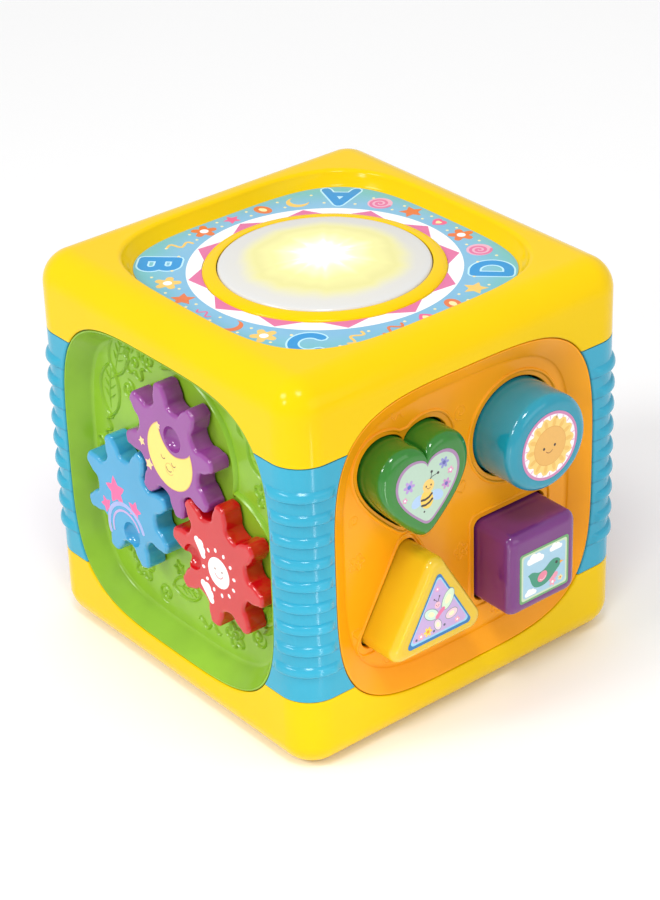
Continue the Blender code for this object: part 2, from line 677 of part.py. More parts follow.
def build_back_side():
    """The panel with the opening that the blocks come out of, its door, and the pin that the door turns on."""
    panel = dish("door_panel", PLAIN_FLOOR, PLAIN_FLOOR_HALF, RED)
    middle = (0.0, DOOR_CENTRE_Z - PANEL_CENTRE_Z)
    opening = rounded_box_outline(DOOR_HALF_WIDTH - 3.5, DOOR_HALF_HEIGHT - 3.5, 8.0, middle)
    panel = cut(panel, loft("opening", [at_height(opening, 80.0), at_height(opening, 110.0)]))
    hinge_x = -DOOR_HALF_WIDTH - 4.6
    hinge_out = PLAIN_FLOOR + 4.0
    for offset in (-30.0, 30.0):
        y = middle[1] + offset
        foot = box("foot", (hinge_x - 3.2, y - 5.0, PLAIN_FLOOR - 1.0), (hinge_x + 3.2, y + 5.0, hinge_out))
        lug = cylinder("lug", HINGE_RADIUS, -5.0, 5.0, count=20)
        lug.matrix_world = Matrix.Translation(Vector((hinge_x, y, hinge_out)) * MM) @ Matrix.Rotation(
            math.radians(90), 4, "X")
        panel = join(panel, foot, lug)
    bore = cylinder("bore", HINGE_PIN_RADIUS + 0.25, -60.0, 60.0, count=16)
    bore.matrix_world = Matrix.Translation(Vector((hinge_x, middle[1], hinge_out)) * MM) @ Matrix.Rotation(
        math.radians(90), 4, "X")
    panel = cut(panel, bore)
    stand_on_side(panel, "back", height=PANEL_CENTRE_Z)

    door_outline = rounded_box_outline(DOOR_HALF_WIDTH, DOOR_HALF_HEIGHT, 10.0, (-hinge_x, 0.0))
    low = PLAIN_FLOOR + 0.5 - hinge_out
    rings = [at_height(door_outline, low), at_height(door_outline, low + DOOR_THICKNESS - 1.0)]
    rings.append(at_height(scaled(door_outline, 0.98, 0.98, (-hinge_x, 0.0)), low + DOOR_THICKNESS))
    door = loft("block_door", rings, colour=SKY_BLUE, roughness=0.2)
    knuckle = cylinder("knuckle", HINGE_RADIUS, -24.5, 24.5, count=20)
    knuckle.matrix_world = Matrix.Rotation(math.radians(90), 4, "X")
    arm = box("arm", (0.0, -23.9, low + 0.5), (8.0, 23.9, low + DOOR_THICKNESS - 0.4))
    door = join(door, knuckle, arm)
    door_bore = cylinder("door_bore", HINGE_PIN_RADIUS + 0.25, -60.0, 60.0, count=16)
    door_bore.matrix_world = Matrix.Rotation(math.radians(90), 4, "X")
    door = cut(door, door_bore)
    grip = box("grip", (-hinge_x + DOOR_HALF_WIDTH - 12.0, -14.0, low + 1.0),
               (-hinge_x + DOOR_HALF_WIDTH - 8.0, 14.0, low + 6.5))
    door = join(door, grip)
    stand_on_side(door, "back", hinge_x, DOOR_CENTRE_Z, hinge_out)
    pin = cylinder("door_pin", HINGE_PIN_RADIUS, -36.0, 36.0, count=16, colour=STEEL, roughness=0.3, metallic=1.0)
    pin.matrix_world = SIDES["back"] @ Matrix.Translation(
        Vector((hinge_x, DOOR_CENTRE_Z, hinge_out)) * MM) @ Matrix.Rotation(math.radians(90), 4, "X")


def build_left_side():
    """The sound panel: slots in front of the speaker, and the on-off switch below them."""
    panel = dish("sound_panel", PLAIN_FLOOR, PLAIN_FLOOR_HALF, PURPLE)
    for k in range(-3, 4):
        reach = 23.0 * math.sqrt(1 - (k / 3.6) ** 2)
        slot = rounded_box_outline(reach, 1.5, 1.45, (0.0, 7.0 * k))
        panel = cut(panel, loft("slot", [at_height(slot, 80.0), at_height(slot, 110.0)]))
    window = rounded_box_outline(9.0, 4.5, 2.0, (0.0, -50.0))
    panel = cut(panel, loft("window", [at_height(window, 80.0), at_height(window, 110.0)]))
    stand_on_side(panel, "left", height=PANEL_CENTRE_Z)
    stem = rounded_box_outline(3.4, 3.4, 1.0)
    rings = [at_height(stem, -3.0), at_height(stem, 3.0), at_height(scaled(stem, 0.8, 0.8), 3.8)]
    knob = loft("power_switch", rings, colour=CHARCOAL, roughness=0.4)
    foot = loft("switch_foot", [at_height(rounded_box_outline(6.0, 6.0, 1.0), z) for z in (-5.4, -2.9)])
    knob = join(knob, foot)
    stand_on_side(knob, "left", -5.0, PANEL_CENTRE_Z - 50.0, PLAIN_FLOOR)
    speaker_profile = [(0.0, -22.0), (9.0, -22.0), (9.0, -15.0), (17.0, -13.0), (25.0, -5.0), (27.5, -5.0)]
    speaker_profile += [(27.5, -3.2), (24.0, -3.2), (15.0, -9.5), (7.0, -11.0), (0.0, -8.6)]
    speaker = turned("speaker", speaker_profile, 20, colour=CHARCOAL, roughness=0.5)
    stand_on_side(speaker, "left", 0.0, PANEL_CENTRE_Z, PLAIN_FLOOR)
    board = box("main_board", (-38.0, -17.0, -24.6), (38.0, 17.0, -23.0), colour=BOARD_GREEN, roughness=0.5)
    stand_on_side(board, "left", 0.0, PANEL_CENTRE_Z - 44.0, PLAIN_FLOOR)
    chip = box("sound_chip", (-6.0, -5.0, -22.7), (6.0, 5.0, -20.9), colour=CHARCOAL, roughness=0.4)
    stand_on_side(chip, "left", 20.0, PANEL_CENTRE_Z - 44.0, PLAIN_FLOOR)


def build_bin():
    """The box inside that catches the blocks: open towards the sorter holes and towards the door."""
    low = (-62.0, -72.0, 40.0)
    high = (89.0, 89.0, 161.0)
    catcher = box("block_bin", low, high, colour=PALE_GREY, roughness=0.4)
    hollow = box("hollow", (low[0] + 2.0, low[1] + 2.0, low[2] + 2.0), (high[0] + 5.0, high[1] + 5.0, high[2] - 2.0))
    return cut(catcher, hollow)


def build_drum():
    """The drum: a milky lens that is pressed, on springs, in a ring with a printed plate round it."""
    arc = []
    for k in range(6):
        angle = math.radians(18.0 * k)
        reach = RING_OUTER_RADIUS - DRUM_RADIUS - 0.4
        arc.append((RING_OUTER_RADIUS - reach * (1 - math.cos(angle)),
                    WELL_FLOOR_Z + 0.3 + (RING_TOP_Z - WELL_FLOOR_Z - 0.3) * math.sin(angle)))
    ring_profile = [(RING_OUTER_RADIUS, WELL_FLOOR_Z + 0.3), *arc[1:-1], (DRUM_RADIUS + 0.9, RING_TOP_Z - 0.05),
                    (DRUM_RADIUS + 0.4, RING_TOP_Z - 0.5), (DRUM_RADIUS + 0.4, WELL_FLOOR_Z + 0.3)]
    turned("drum_ring", ring_profile, 36, looped=True, colour=YELLOW, roughness=0.12)
    lens_profile = [(0.0, DRUM_TOP_Z)]
    for k in range(1, 5):
        radius = (DRUM_RADIUS - 1.2) * k / 4
        lens_profile.append((radius, DRUM_TOP_Z - (DRUM_TOP_Z - DRUM_EDGE_Z) * (k / 4) ** 2))
    lens_profile += [(DRUM_RADIUS - 0.3, DRUM_EDGE_Z - 0.6), (DRUM_RADIUS, DRUM_EDGE_Z - 1.6)]
    lens_profile += [(DRUM_RADIUS, 186.2), (DRUM_RADIUS, 184.9), (54.6, 184.9), (54.6, 182.4), (47.4, 182.4)]
    lens_profile += [(47.4, 193.0), (30.0, 195.6), (4.2, 196.8), (3.2, 184.9), (0.0, 184.9)]
    turned("drum_lens", lens_profile, 36, colour=MILK_WHITE, roughness=0.3)
    outline = squircle(WELL_HALF - 6.4)
    hole = circle(RING_OUTER_RADIUS + 0.4, 4 * QUARTER)
    low, high = WELL_FLOOR_Z + 0.1, WELL_FLOOR_Z + 0.5
    rings = [at_height(outline, low), at_height(outline, high), at_height(hole, high), at_height(hole, low)]
    loft("drum_print", rings, looped=True, colour=SKY_BLUE, roughness=0.35)
    tray_profile = [(0.0, 166.0), (58.0, 166.0), (58.0, 184.0), (63.0, 184.0), (63.0, 186.1), (55.9, 186.1)]
    tray_profile += [(55.9, 168.2), (0.0, 168.2)]
    turned("drum_tray", tray_profile, 24, colour=PALE_GREY, roughness=0.4)
    cylinder("light_board", 44.0, 170.0, 171.6, count=24, colour=BOARD_GREEN, roughness=0.5)
    for k in range(3):
        angle = math.radians(90 + 120 * k)
        spot = (22.0 * math.cos(angle), 22.0 * math.sin(angle))
        lamp = [(2.9, 171.9), (2.9, 172.9), (2.5, 172.9), (2.5, 175.6), (1.8, 177.0), (0.0, 177.7)]
        turned("lamp_" + str(k + 1), lamp, 12, spot, colour=MILK_WHITE, roughness=0.2)
        angle += math.radians(60)
        build_spring("drum_spring_" + str(k + 1), (51.0 * math.cos(angle), 51.0 * math.sin(angle)))
    key = box("drum_switch", (-6.0, -6.0, 171.9), (6.0, 6.0, 178.0), colour=CHARCOAL, roughness=0.4)
    plunger = cylinder("plunger", 2.5, 177.0, 181.5, count=16)
    join(key, plunger)


def build_spring(name, centre):
    """A coil spring standing between the drum tray and the drum's flange."""
    low = 169.2
    high = 181.6
    turns = 3
    steps = turns * 8
    rings = []
    for k in range(steps + 1):
        share = k / steps
        angle = 2 * math.pi * turns * share
        z = low + (high - low) * share
        ring = []
        for j in range(4):
            side = 0.5 * math.pi * j
            reach = 2.7 + 0.45 * math.cos(side)
            x = centre[0] + reach * math.cos(angle)
            y = centre[1] + reach * math.sin(angle)
            ring.append((x, y, z + 0.45 * math.sin(side)))
        rings.append(ring)
    loft(name, rings, colour=STEEL, roughness=0.25, metallic=1.0)


def build_batteries():
    """The battery box inside, three cells, their contacts, and the door with its screw in the bottom."""
    low, high = battery_opening(0.0)
    door = loft("battery_door", [at_height(rounded_box_outline((high[0] - low[0]) / 2, (high[1] - low[1]) / 2, 0.6), z)
                                 for z in (0.3, 2.7)], colour=YELLOW, roughness=0.2)
    middle = ((low[0] + high[0]) / 2, (low[1] + high[1]) / 2)
    door.location = Vector((middle[0], middle[1], 0.0)) * MM
    screw_spot = (0.0, 29.0)
    door = cut(door, cylinder_at("seat", 3.6, -1.0, 1.7, screw_spot, door.location),
               cylinder_at("shank_hole", 1.8, -1.0, 6.0, screw_spot, door.location))
    profile = [(0.0, 0.5), (3.1, 0.5), (3.1, 1.3), (1.4, 1.5), (1.4, 7.6), (0.0, 8.4)]
    screw = turned("battery_screw", profile, 16, colour=STEEL, roughness=0.3, metallic=1.0)
    screw.location = Vector((middle[0] + screw_spot[0], middle[1] + screw_spot[1], 0.0)) * MM
    outer = box("battery_box", (low[0] - 1.5, low[1] - 1.5, 3.4), (high[0] + 1.5, high[1] + 1.5, 23.0),
                colour=CHARCOAL, roughness=0.5)
    hollow = box("hollow", (low[0] + 1.0, low[1] + 1.0, 0.0), (high[0] - 1.0, 23.5, 21.0))
    boss_room = box("boss_room", (low[0] + 1.0, 25.5, 0.0), (high[0] - 1.0, high[1] - 1.0, 21.0))
    outer = cut(outer, hollow, boss_room)
    boss = cylinder("boss", 4.4, 4.2, 22.0, (middle[0], middle[1] + screw_spot[1]), 20)
    outer = join(outer, boss)
    outer = cut(outer, cylinder("boss_hole", 1.7, 0.0, 10.0, (middle[0], middle[1] + screw_spot[1]), 16))
    for k in range(3):
        y = -24.0 + 16.2 * k + 0.0
        profile = [(0.0, -25.25), (6.4, -25.25), (7.1, -24.6), (7.1, 23.2), (6.6, 24.0), (2.7, 24.0), (2.7, 25.2)]
        profile.append((0.0, 25.2))
        cell = turned("cell_" + str(k + 1), profile, 14, colour=CHARCOAL if k % 2 else STEEL, roughness=0.3)
        turn = Matrix.Rotation(math.radians(90 if k % 2 == 0 else -90), 4, "Y")
        cell.matrix_world = Matrix.Translation(Vector((middle[0], y, 12.2)) * MM) @ turn
    for name, x in (("contact_plate_left", low[0] + 1.5), ("contact_plate_right", high[0] - 2.3)):
        box(name, (x, -31.0, 6.0), (x + 0.8, 15.6, 18.6), colour=STEEL, roughness=0.3, metallic=1.0)


def cylinder_at(name, radius, z0, z1, spot, origin):
    made = cylinder(name, radius, z0, z1, spot, 20)
    made.location = origin
    return made


def main():
    clear_scene()
    build_top_cap()
    build_bottom_cap()
    build_posts()
    build_gear_side()
    build_sorter_side()
    build_back_side()
    build_left_side()
    build_bin()
    build_drum()
    build_batteries()


main()
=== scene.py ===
"""Looks of the baby activity cube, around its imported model. Sizes are millimetres until a mesh is made."""

import json
import math

import bmesh
import bpy
from mathutils import Matrix, Vector


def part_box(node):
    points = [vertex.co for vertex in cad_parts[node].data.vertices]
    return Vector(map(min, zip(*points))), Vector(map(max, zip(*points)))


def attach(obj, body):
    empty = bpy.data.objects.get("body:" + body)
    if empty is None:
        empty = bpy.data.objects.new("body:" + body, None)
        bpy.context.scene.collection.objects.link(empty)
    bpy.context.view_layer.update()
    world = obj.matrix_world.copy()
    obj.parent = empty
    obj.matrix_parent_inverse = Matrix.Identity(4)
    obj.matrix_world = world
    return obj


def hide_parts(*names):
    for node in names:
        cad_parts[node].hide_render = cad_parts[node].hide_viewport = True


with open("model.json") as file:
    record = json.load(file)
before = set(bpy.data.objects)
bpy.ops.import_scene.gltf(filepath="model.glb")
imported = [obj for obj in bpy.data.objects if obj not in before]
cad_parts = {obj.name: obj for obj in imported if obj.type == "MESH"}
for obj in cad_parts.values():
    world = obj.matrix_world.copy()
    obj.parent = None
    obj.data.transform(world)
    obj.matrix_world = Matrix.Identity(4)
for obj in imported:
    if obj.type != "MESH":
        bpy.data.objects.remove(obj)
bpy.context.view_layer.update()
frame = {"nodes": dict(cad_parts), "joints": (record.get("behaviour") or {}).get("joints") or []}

MM = 0.001


# ---------------------------------------------------------------- the frame's places


def low_high(node):
    low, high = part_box(node)
    return low / MM, high / MM


def middle_of(node):
    low, high = low_high(node)
    return (low + high) / 2


JOINTS = {joint["name"]: joint for joint in frame["joints"]}
CUBE_HALF = low_high("top_cap")[1].x
CUBE_TOP = low_high("top_cap")[1].z
UPPER_SEAM_Z = low_high("top_cap")[0].z
LOWER_SEAM_Z = low_high("bottom_cap")[1].z
PANEL_CENTRE_Z = 100.0
PANEL_HALF = 79.0
OPENING_HALF = PANEL_HALF + 0.35
PANEL_EXPONENT = 3.8
CORNER_RADIUS = 17.0
TOP_FILLET = 16.0
BOTTOM_FILLET = 14.0
SHELL = 3.0
WELL_HALF = 83.0
PRINT_TOP_Z = low_high("drum_print")[1].z
WELL_FLOOR_Z = low_high("drum_print")[0].z - 0.1
WELL_FLOOR_THICKNESS = 2.6
COLLAR_RADIUS = 64.0
COLLAR_END_Z = 186.4
RING_RADIUS = low_high("drum_ring")[1].x
RING_TOP_Z = low_high("drum_ring")[1].z
LENS_TOP_Z = low_high("drum_lens")[1].z
LENS_RADIUS = 50.4
LENS_EDGE_Z = 195.6
GEAR_FLOOR = 88.0
GEAR_FLOOR_HALF = 72.0
SHAPE_FLOOR = 92.0
SHAPE_FLOOR_HALF = 69.0
QUARTER = 32
RIB_FIRST_Z = 49.2
RIB_PITCH = 11.4
RIB_COUNT = 9
RIB_HEIGHT = 1.88
RIB_START = 0.31
RIB_CREST = 0.46
RIB_STOP = 0.76

SIDES = {
    "gear": Matrix.Rotation(math.radians(90), 4, "X"),
    "sorter": Matrix.Rotation(math.radians(90), 4, "Z") @ Matrix.Rotation(math.radians(90), 4, "X"),
    "back": Matrix.Rotation(math.radians(180), 4, "Z") @ Matrix.Rotation(math.radians(90), 4, "X"),
    "left": Matrix.Rotation(math.radians(270), 4, "Z") @ Matrix.Rotation(math.radians(90), 4, "X"),
}


def on_side(side, across=0.0, height=0.0, out=0.0):
    """The place of a piece drawn in a side's own frame: X across the side, Y up and Z out of the cube."""
    return SIDES[side] @ Matrix.Translation(Vector((across, height, out)))


def middle_of_side(side):
    return on_side(side, 0.0, PANEL_CENTRE_Z)


# ---------------------------------------------------------------- finishes


def srgb(red, green, blue):
    """A linear colour from its usual values of 0 to 255."""
    made = []
    for value in (red, green, blue):
        share = value / 255
        made.append(share / 12.92 if share < 0.04045 else ((share + 0.055) / 1.055) ** 2.4)
    return tuple(made)


class Nodes:
    """A material's node tree, with short calls for the nodes that the finishes share."""

    def __init__(self, name, roughness):
        self.material = bpy.data.materials.new(name)
        self.material.use_nodes = True
        self.tree = self.material.node_tree
        self.shader = self.tree.nodes["Principled BSDF"]
        self.shader.inputs["Roughness"].default_value = roughness
        self.place = self.tree.nodes.new("ShaderNodeTexCoord").outputs["Object"]

    def link(self, source, target):
        self.tree.links.new(source, target)

    def axes(self):
        """A node that gives the place's X, Y and Z."""
        node = self.tree.nodes.new("ShaderNodeSeparateXYZ")
        self.link(self.place, node.inputs[0])
        return node

    def noise(self, scale, detail=2.0, roughness=0.5, stretch=None):
        node = self.tree.nodes.new("ShaderNodeTexNoise")
        node.inputs["Scale"].default_value = scale
        node.inputs["Detail"].default_value = detail
        node.inputs["Roughness"].default_value = roughness
        place = self.place
        if stretch:
            mapping = self.tree.nodes.new("ShaderNodeMapping")
            mapping.inputs["Scale"].default_value = stretch
            self.link(self.place, mapping.inputs["Vector"])
            place = mapping.outputs["Vector"]
        self.link(place, node.inputs["Vector"])
        return node.outputs["Fac"]

    def spread(self, value, low, high, to_low, to_high):
        node = self.tree.nodes.new("ShaderNodeMapRange")
        limits = {"From Min": low, "From Max": high, "To Min": to_low, "To Max": to_high}
        for socket, number in limits.items():
            node.inputs[socket].default_value = number
        self.link(value, node.inputs["Value"])
        return node.outputs["Result"]

    def mix(self, share, first, second):
        node = self.tree.nodes.new("ShaderNodeMix")
        node.data_type = "RGBA"
        self.link(share, node.inputs[0])
        for index, colour in ((6, first), (7, second)):
            if isinstance(colour, tuple):
                node.inputs[index].default_value = (*colour, 1.0)
            else:
                self.link(colour, node.inputs[index])
        return node.outputs[2]

    def ramp(self, share, stops):
        node = self.tree.nodes.new("ShaderNodeValToRGB")
        self.link(share, node.inputs["Fac"])
        node.color_ramp.interpolation = "EASE"
        while len(node.color_ramp.elements) < len(stops):
            node.color_ramp.elements.new(0.5)
        for element, (position, colour) in zip(node.color_ramp.elements, stops):
            element.position = position
            element.color = (*colour, 1.0)
        return node.outputs["Color"]

    def maths(self, operation, first, second=None):
        node = self.tree.nodes.new("ShaderNodeMath")
        node.operation = operation
        for index, value in enumerate((first, second)):
            if isinstance(value, (int, float)):
                node.inputs[index].default_value = value
            elif value is not None:
                self.link(value, node.inputs[index])
        return node.outputs[0]

    def radius(self):
        """The distance from the upright line through the middle of the cube."""
        parts = self.axes()
        squares = [self.maths("POWER", parts.outputs[axis], 2.0) for axis in ("X", "Y")]
        return self.maths("SQRT", self.maths("ADD", *squares))

    def bump(self, height, distance, before=None):
        node = self.tree.nodes.new("ShaderNodeBump")
        node.inputs["Distance"].default_value = distance
        self.link(height, node.inputs["Height"])
        if before is not None:
            self.link(before, node.inputs["Normal"])
        return node.outputs["Normal"]

    def set(self, socket, value):
        target = self.shader.inputs[socket]
        if isinstance(value, bpy.types.NodeSocket):
            self.link(value, target)
        elif isinstance(value, tuple):
            target.default_value = (*value, 1.0)
        else:
            target.default_value = value


def tinted(colour, factor):
    return tuple(min(1.0, value * factor) for value in colour)


def painted_rib_shade(made):
    """Painted shade on a grip post: how dark it is at a height, a soft line just under each of its ribs."""
    narrowness = 13.0
    depth = 0.75
    height = made.axes().outputs["Z"]
    place = made.maths("DIVIDE", made.maths("SUBTRACT", height, RIB_FIRST_Z * MM), RIB_PITCH * MM)
    away = made.maths("ABSOLUTE", made.maths("SUBTRACT", made.maths("FRACT", place), RIB_START))
    line = made.maths("SUBTRACT", 1.0, made.maths("MULTIPLY", away, narrowness))
    above = made.maths("GREATER_THAN", place, 0.0)
    below = made.maths("LESS_THAN", place, RIB_COUNT)
    line = made.maths("MULTIPLY", made.maths("MAXIMUM", line, 0.0), made.maths("MULTIPLY", above, below))
    return made.maths("MULTIPLY", line, depth)


def plastic(name, colour, roughness=0.2, tone=0.06, ripple=0.00002, grain=0.0, gloss_spread=0.05, depth=0.0,
            shine=0.4, coat=0.0, paint_rib_shade=False):
    """Moulded plastic with slow colour drift, rippled gloss and rub marks.

    Grain adds a sand-blasted face, depth some light from under the surface and coat a hard clear gloss.
    For the grip posts, shade is painted into the colour: a dark line under each rib.
    """
    made = Nodes(name, roughness)
    drift = made.noise(28.0, 3.0)
    share = made.spread(drift, 0.3, 0.7, 0.0, 1.0)
    tint = made.mix(share, tinted(colour, 1 - tone), tinted(colour, 1 + tone))
    if paint_rib_shade:
        # Painted shade: the colour turns a deep blue in a thin line under each grip rib.
        tint = made.mix(painted_rib_shade(made), tint, (colour[0] * 0.35, colour[1] * 0.6, colour[2] * 0.7))
    made.set("Base Color", tint)
    rubbed = made.noise(90.0, 6.0, 0.65, (1.0, 2.6, 0.8))
    smoothest, roughest = roughness - gloss_spread * 0.4, roughness + gloss_spread
    made.set("Roughness", made.spread(rubbed, 0.35, 0.75, smoothest, roughest))
    surface = made.bump(made.noise(320.0, 1.0), ripple)
    if grain:
        surface = made.bump(made.noise(5200.0, 2.0), grain, before=surface)
    made.set("Normal", surface)
    made.set("Specular IOR Level", shine)
    if coat:
        made.set("Coat Weight", coat)
        made.set("Coat Roughness", 0.06)
        made.set("Coat IOR", 1.9)
    if depth:
        made.set("Subsurface Weight", depth)
        made.shader.inputs["Subsurface Radius"].default_value = (1.0, 0.8, 0.6)
        made.shader.inputs["Subsurface Scale"].default_value = 0.003
    return made.material


def ink(name, colour, tone=0.05, roughness=0.35):
    """Printed varnish on a sticker or a painted face: a little mottled, with the film's own grain."""
    made = Nodes(name, roughness)
    mottle = made.noise(700.0, 4.0, 0.6)
    made.set("Base Color", made.mix(mottle, tinted(colour, 1 - tone), tinted(colour, 1 + tone)))
    made.set("Roughness", made.spread(made.noise(160.0, 3.0), 0.3, 0.7, roughness - 0.05, roughness + 0.08))
    made.set("Normal", made.bump(made.noise(2600.0, 2.0), 0.000006))
    return made.material


def metal(name, colour, roughness=0.3):
    made = Nodes(name, roughness)
    brushed = made.noise(400.0, 4.0, 0.6, (1.0, 1.0, 12.0))
    made.set("Base Color", made.mix(brushed, tinted(colour, 0.85), tinted(colour, 1.1)))
    made.set("Roughness", made.spread(brushed, 0.3, 0.7, roughness - 0.08, roughness + 0.1))
    made.set("Normal", made.bump(brushed, 0.00001))
    made.set("Metallic", 1.0)
    return made.material


def sky_print(name):
    """The drum's printed sheet: sky blue that turns greener towards the corners, a little mottled."""
    made = Nodes(name, 0.35)
    cornerwards = made.spread(made.radius(), 0.070, 0.084, 0.0, 1.0)
    sky = made.mix(made.noise(60.0, 3.0), srgb(118, 178, 214), srgb(136, 192, 222))
    shaded = made.mix(cornerwards, sky, srgb(112, 188, 196))
    made.set("Base Color", shaded)
    made.set("Roughness", made.spread(made.noise(160.0, 3.0), 0.3, 0.7, 0.28, 0.42))
    made.set("Normal", made.bump(made.noise(2600.0, 2.0), 0.000006))
    return made.material


def lit_lens(name):
    """Milky plastic lit from below: white in the middle, warm yellow round it, then grey, with faint painted
    flare rays.
    """
    made = Nodes(name, 0.16)
    parts = made.axes()
    radius = made.radius()
    angle = made.maths("ARCTAN2", parts.outputs["Y"], parts.outputs["X"])
    # Painted light: rays of lens flare that stretch the glow and the milky colour outwards in a few
    # directions.
    flare_rays = None
    for count, phase, sharpness in ((4, 0.5, 10.0), (3, 1.9, 14.0), (5, 0.2, 22.0)):
        turn = made.maths("ADD", made.maths("MULTIPLY", angle, float(count)), phase)
        flare_ray = made.maths("POWER", made.maths("ABSOLUTE", made.maths("COSINE", turn)), sharpness)
        flare_rays = flare_ray if flare_rays is None else made.maths("ADD", flare_rays, flare_ray)
    fade = made.spread(radius, 0.008, 0.046, 1.0, 0.0)
    wavy = made.maths("ADD", radius, made.maths("MULTIPLY", made.noise(45.0, 2.0), 0.008))
    reach = made.maths("SUBTRACT", wavy, made.maths("MULTIPLY", made.maths("MULTIPLY", flare_rays, fade), 0.0032))
    share = made.spread(reach, 0.0, 0.054, 0.0, 1.0)
    glow = ((0.0, (0.9, 0.9, 0.9)), (0.20, (0.84, 0.84, 0.76)), (0.36, (0.62, 0.60, 0.34)),
            (0.52, (0.46, 0.44, 0.13)), (0.68, (0.36, 0.34, 0.08)), (0.88, (0.02, 0.02, 0.02)),
            (1.0, (0.0, 0.0, 0.0)))
    milk = ((0.0, (0.45, 0.45, 0.36)), (0.16, (0.45, 0.45, 0.32)), (0.44, (0.44, 0.42, 0.22)),
            (0.66, (0.46, 0.44, 0.24)), (0.88, (0.67, 0.66, 0.62)), (1.0, (0.68, 0.68, 0.67)))
    made.set("Emission Color", made.ramp(share, glow))
    made.set("Emission Strength", 1.0)
    made.set("Base Color", made.ramp(share, milk))
    made.set("Roughness", made.spread(made.noise(90.0, 5.0), 0.35, 0.75, 0.12, 0.24))
    made.set("Normal", made.bump(made.noise(320.0, 1.0), 0.00001))
    return made.material


YELLOW = plastic("yellow_shell", srgb(240, 199, 0), 0.13, 0.015, 0.00002, shine=0.15)
SKY_BLUE = plastic("sky_blue_grip", srgb(48, 160, 188), 0.17, 0.03, 0.00002)
# The grip posts' blue, with painted shade in a line under each rib.
GRIP_BLUE_RIB_SHADE = plastic("grip_post_blue_painted_shade", srgb(50, 164, 194), 0.17, 0.03, 0.00002, paint_rib_shade=True)
LIME = plastic("lime_panel", srgb(138, 184, 42), 0.20, 0.13, 0.00003)
ORANGE = plastic("orange_panel", srgb(255, 166, 16), 0.22, 0.05, 0.00003, shine=0.25)
DOOR_RED = plastic("red_panel", srgb(226, 48, 44), 0.22, 0.05, 0.00003)
SOUND_PURPLE = plastic("purple_panel", srgb(150, 84, 172), 0.22, 0.05, 0.00003)
GEAR_COLOURS = {
    "purple": ((146, 64, 148), (180, 112, 184)),
    "red": ((204, 14, 22), (216, 82, 82)),
    "blue": ((56, 160, 206), (122, 186, 224)),
}
GEAR_GLOSS = {name: plastic(name + "_gear_gloss", srgb(*edge), 0.09, 0.05, 0.00004, depth=0.15, coat=0.32)
              for name, (edge, face) in GEAR_COLOURS.items()}
GEAR_MATT = {name: plastic(name + "_gear_face", srgb(*face), 0.5, 0.03, 0.00001, 0.000012)
             for name, (edge, face) in GEAR_COLOURS.items()}
BLOCK_GLOSS = {name: plastic(finish, srgb(*colour), roughness, tone, 0.00003, depth=0.2, coat=0.2)
               for name, finish, colour, roughness, tone in (
                   ("heart", "green_block", (42, 126, 38), 0.09, 0.06),
                   ("circle", "teal_block", (24, 144, 168), 0.09, 0.05),
                   ("triangle", "lemon_block", (226, 188, 30), 0.11, 0.03),
                   ("square", "violet_block", (116, 48, 122), 0.09, 0.06))}
LENS = lit_lens("lit_lens")
SKY_PRINT = sky_print("sky_print")
PALE_GREY = plastic("inner_grey", srgb(206, 208, 210), 0.4, 0.03, 0.00002, 0.000004)
CHARCOAL = plastic("black_plastic", srgb(38, 38, 42), 0.45, 0.08, 0.00002, 0.00001)
BOARD = plastic("circuit_green", srgb(28, 104, 52), 0.4, 0.2, 0.00001)
LAMP = plastic("lamp_clear", srgb(250, 246, 220), 0.08, 0.02, 0.00001, depth=0.5)
STEEL = metal("zinc_steel", srgb(196, 198, 202))
CELL = metal("cell_wrap", srgb(120, 124, 132), 0.25)


# ---------------------------------------------------------------- outlines


def squircle(half, offset=0.0, quarter=QUARTER):
    """A square with swollen sides. Its points start at +X, or at this share of a step past it."""
    outline = []
    for k in range(4 * quarter):
        angle = 0.5 * math.pi * (k + offset) / quarter
        c, s = math.cos(angle), math.sin(angle)
        x = half * math.copysign(abs(c) ** (2 / PANEL_EXPONENT), c) if abs(c) > 1e-9 else 0.0
        y = half * math.copysign(abs(s) ** (2 / PANEL_EXPONENT), s) if abs(s) > 1e-9 else 0.0
        outline.append((x, y))
    return outline


def side_squircle(half):
    return squircle(half, 0.5)


def rounded_square(half, radius, quarter=QUARTER):
    outline = []
    for q in range(4):
        turn = 0.5 * math.pi * q
        row = [(half, 0.0)]
        for k in range(quarter - 1):
            angle = 0.5 * math.pi * k / (quarter - 2)
            row.append((half - radius + radius * math.cos(angle), half - radius + radius * math.sin(angle)))
        c, s = math.cos(turn), math.sin(turn)
        outline += [(x * c - y * s, x * s + y * c) for x, y in row]
    return outline


def circle(radius, count=48):
    turns = [2 * math.pi * k / count for k in range(count)]
    return [(radius * math.cos(a), radius * math.sin(a)) for a in turns]


def oval(width, height, count=32):
    return [(width / 2 * x, height / 2 * y) for x, y in circle(1.0, count)]


def moved(outline, x=0.0, y=0.0, turn=0.0, size=1.0):
    c, s = math.cos(math.radians(turn)) * size, math.sin(math.radians(turn)) * size
    return [(x + a * c - b * s, y + a * s + b * c) for a, b in outline]


def lifted(outline, z):
    return [(x, y, z) for x, y in outline]


def fit(outline, width, height, inset):
    """An outline shrunk towards its middle by an inset on each side."""
    return [(x * (1 - 2 * inset / width), y * (1 - 2 * inset / height)) for x, y in outline]


def fillet(radius, steps, degrees=90.0):
    """Steps round part of a circle from its side, as how far in and how far up each one is."""
    turns = [math.radians(degrees) * k / steps for k in range(steps + 1)]
    return [(radius * (1 - math.cos(turn)), radius * math.sin(turn)) for turn in turns]


def offset_outline(outline, depth):
    """Moves each point of an anticlockwise outline inwards, square to its neighbours."""
    made = []
    count = len(outline)
    for k, (x, y) in enumerate(outline):
        before = Vector(outline[k - 1])
        here = Vector((x, y))
        after = Vector(outline[(k + 1) % count])
        first = (here - before).normalized()
        second = (after - here).normalized()
        along = (first + second).normalized()
        reach = depth / max(0.5, along.dot(first))
        made.append((x - along.y * reach, y + along.x * reach))
    return made


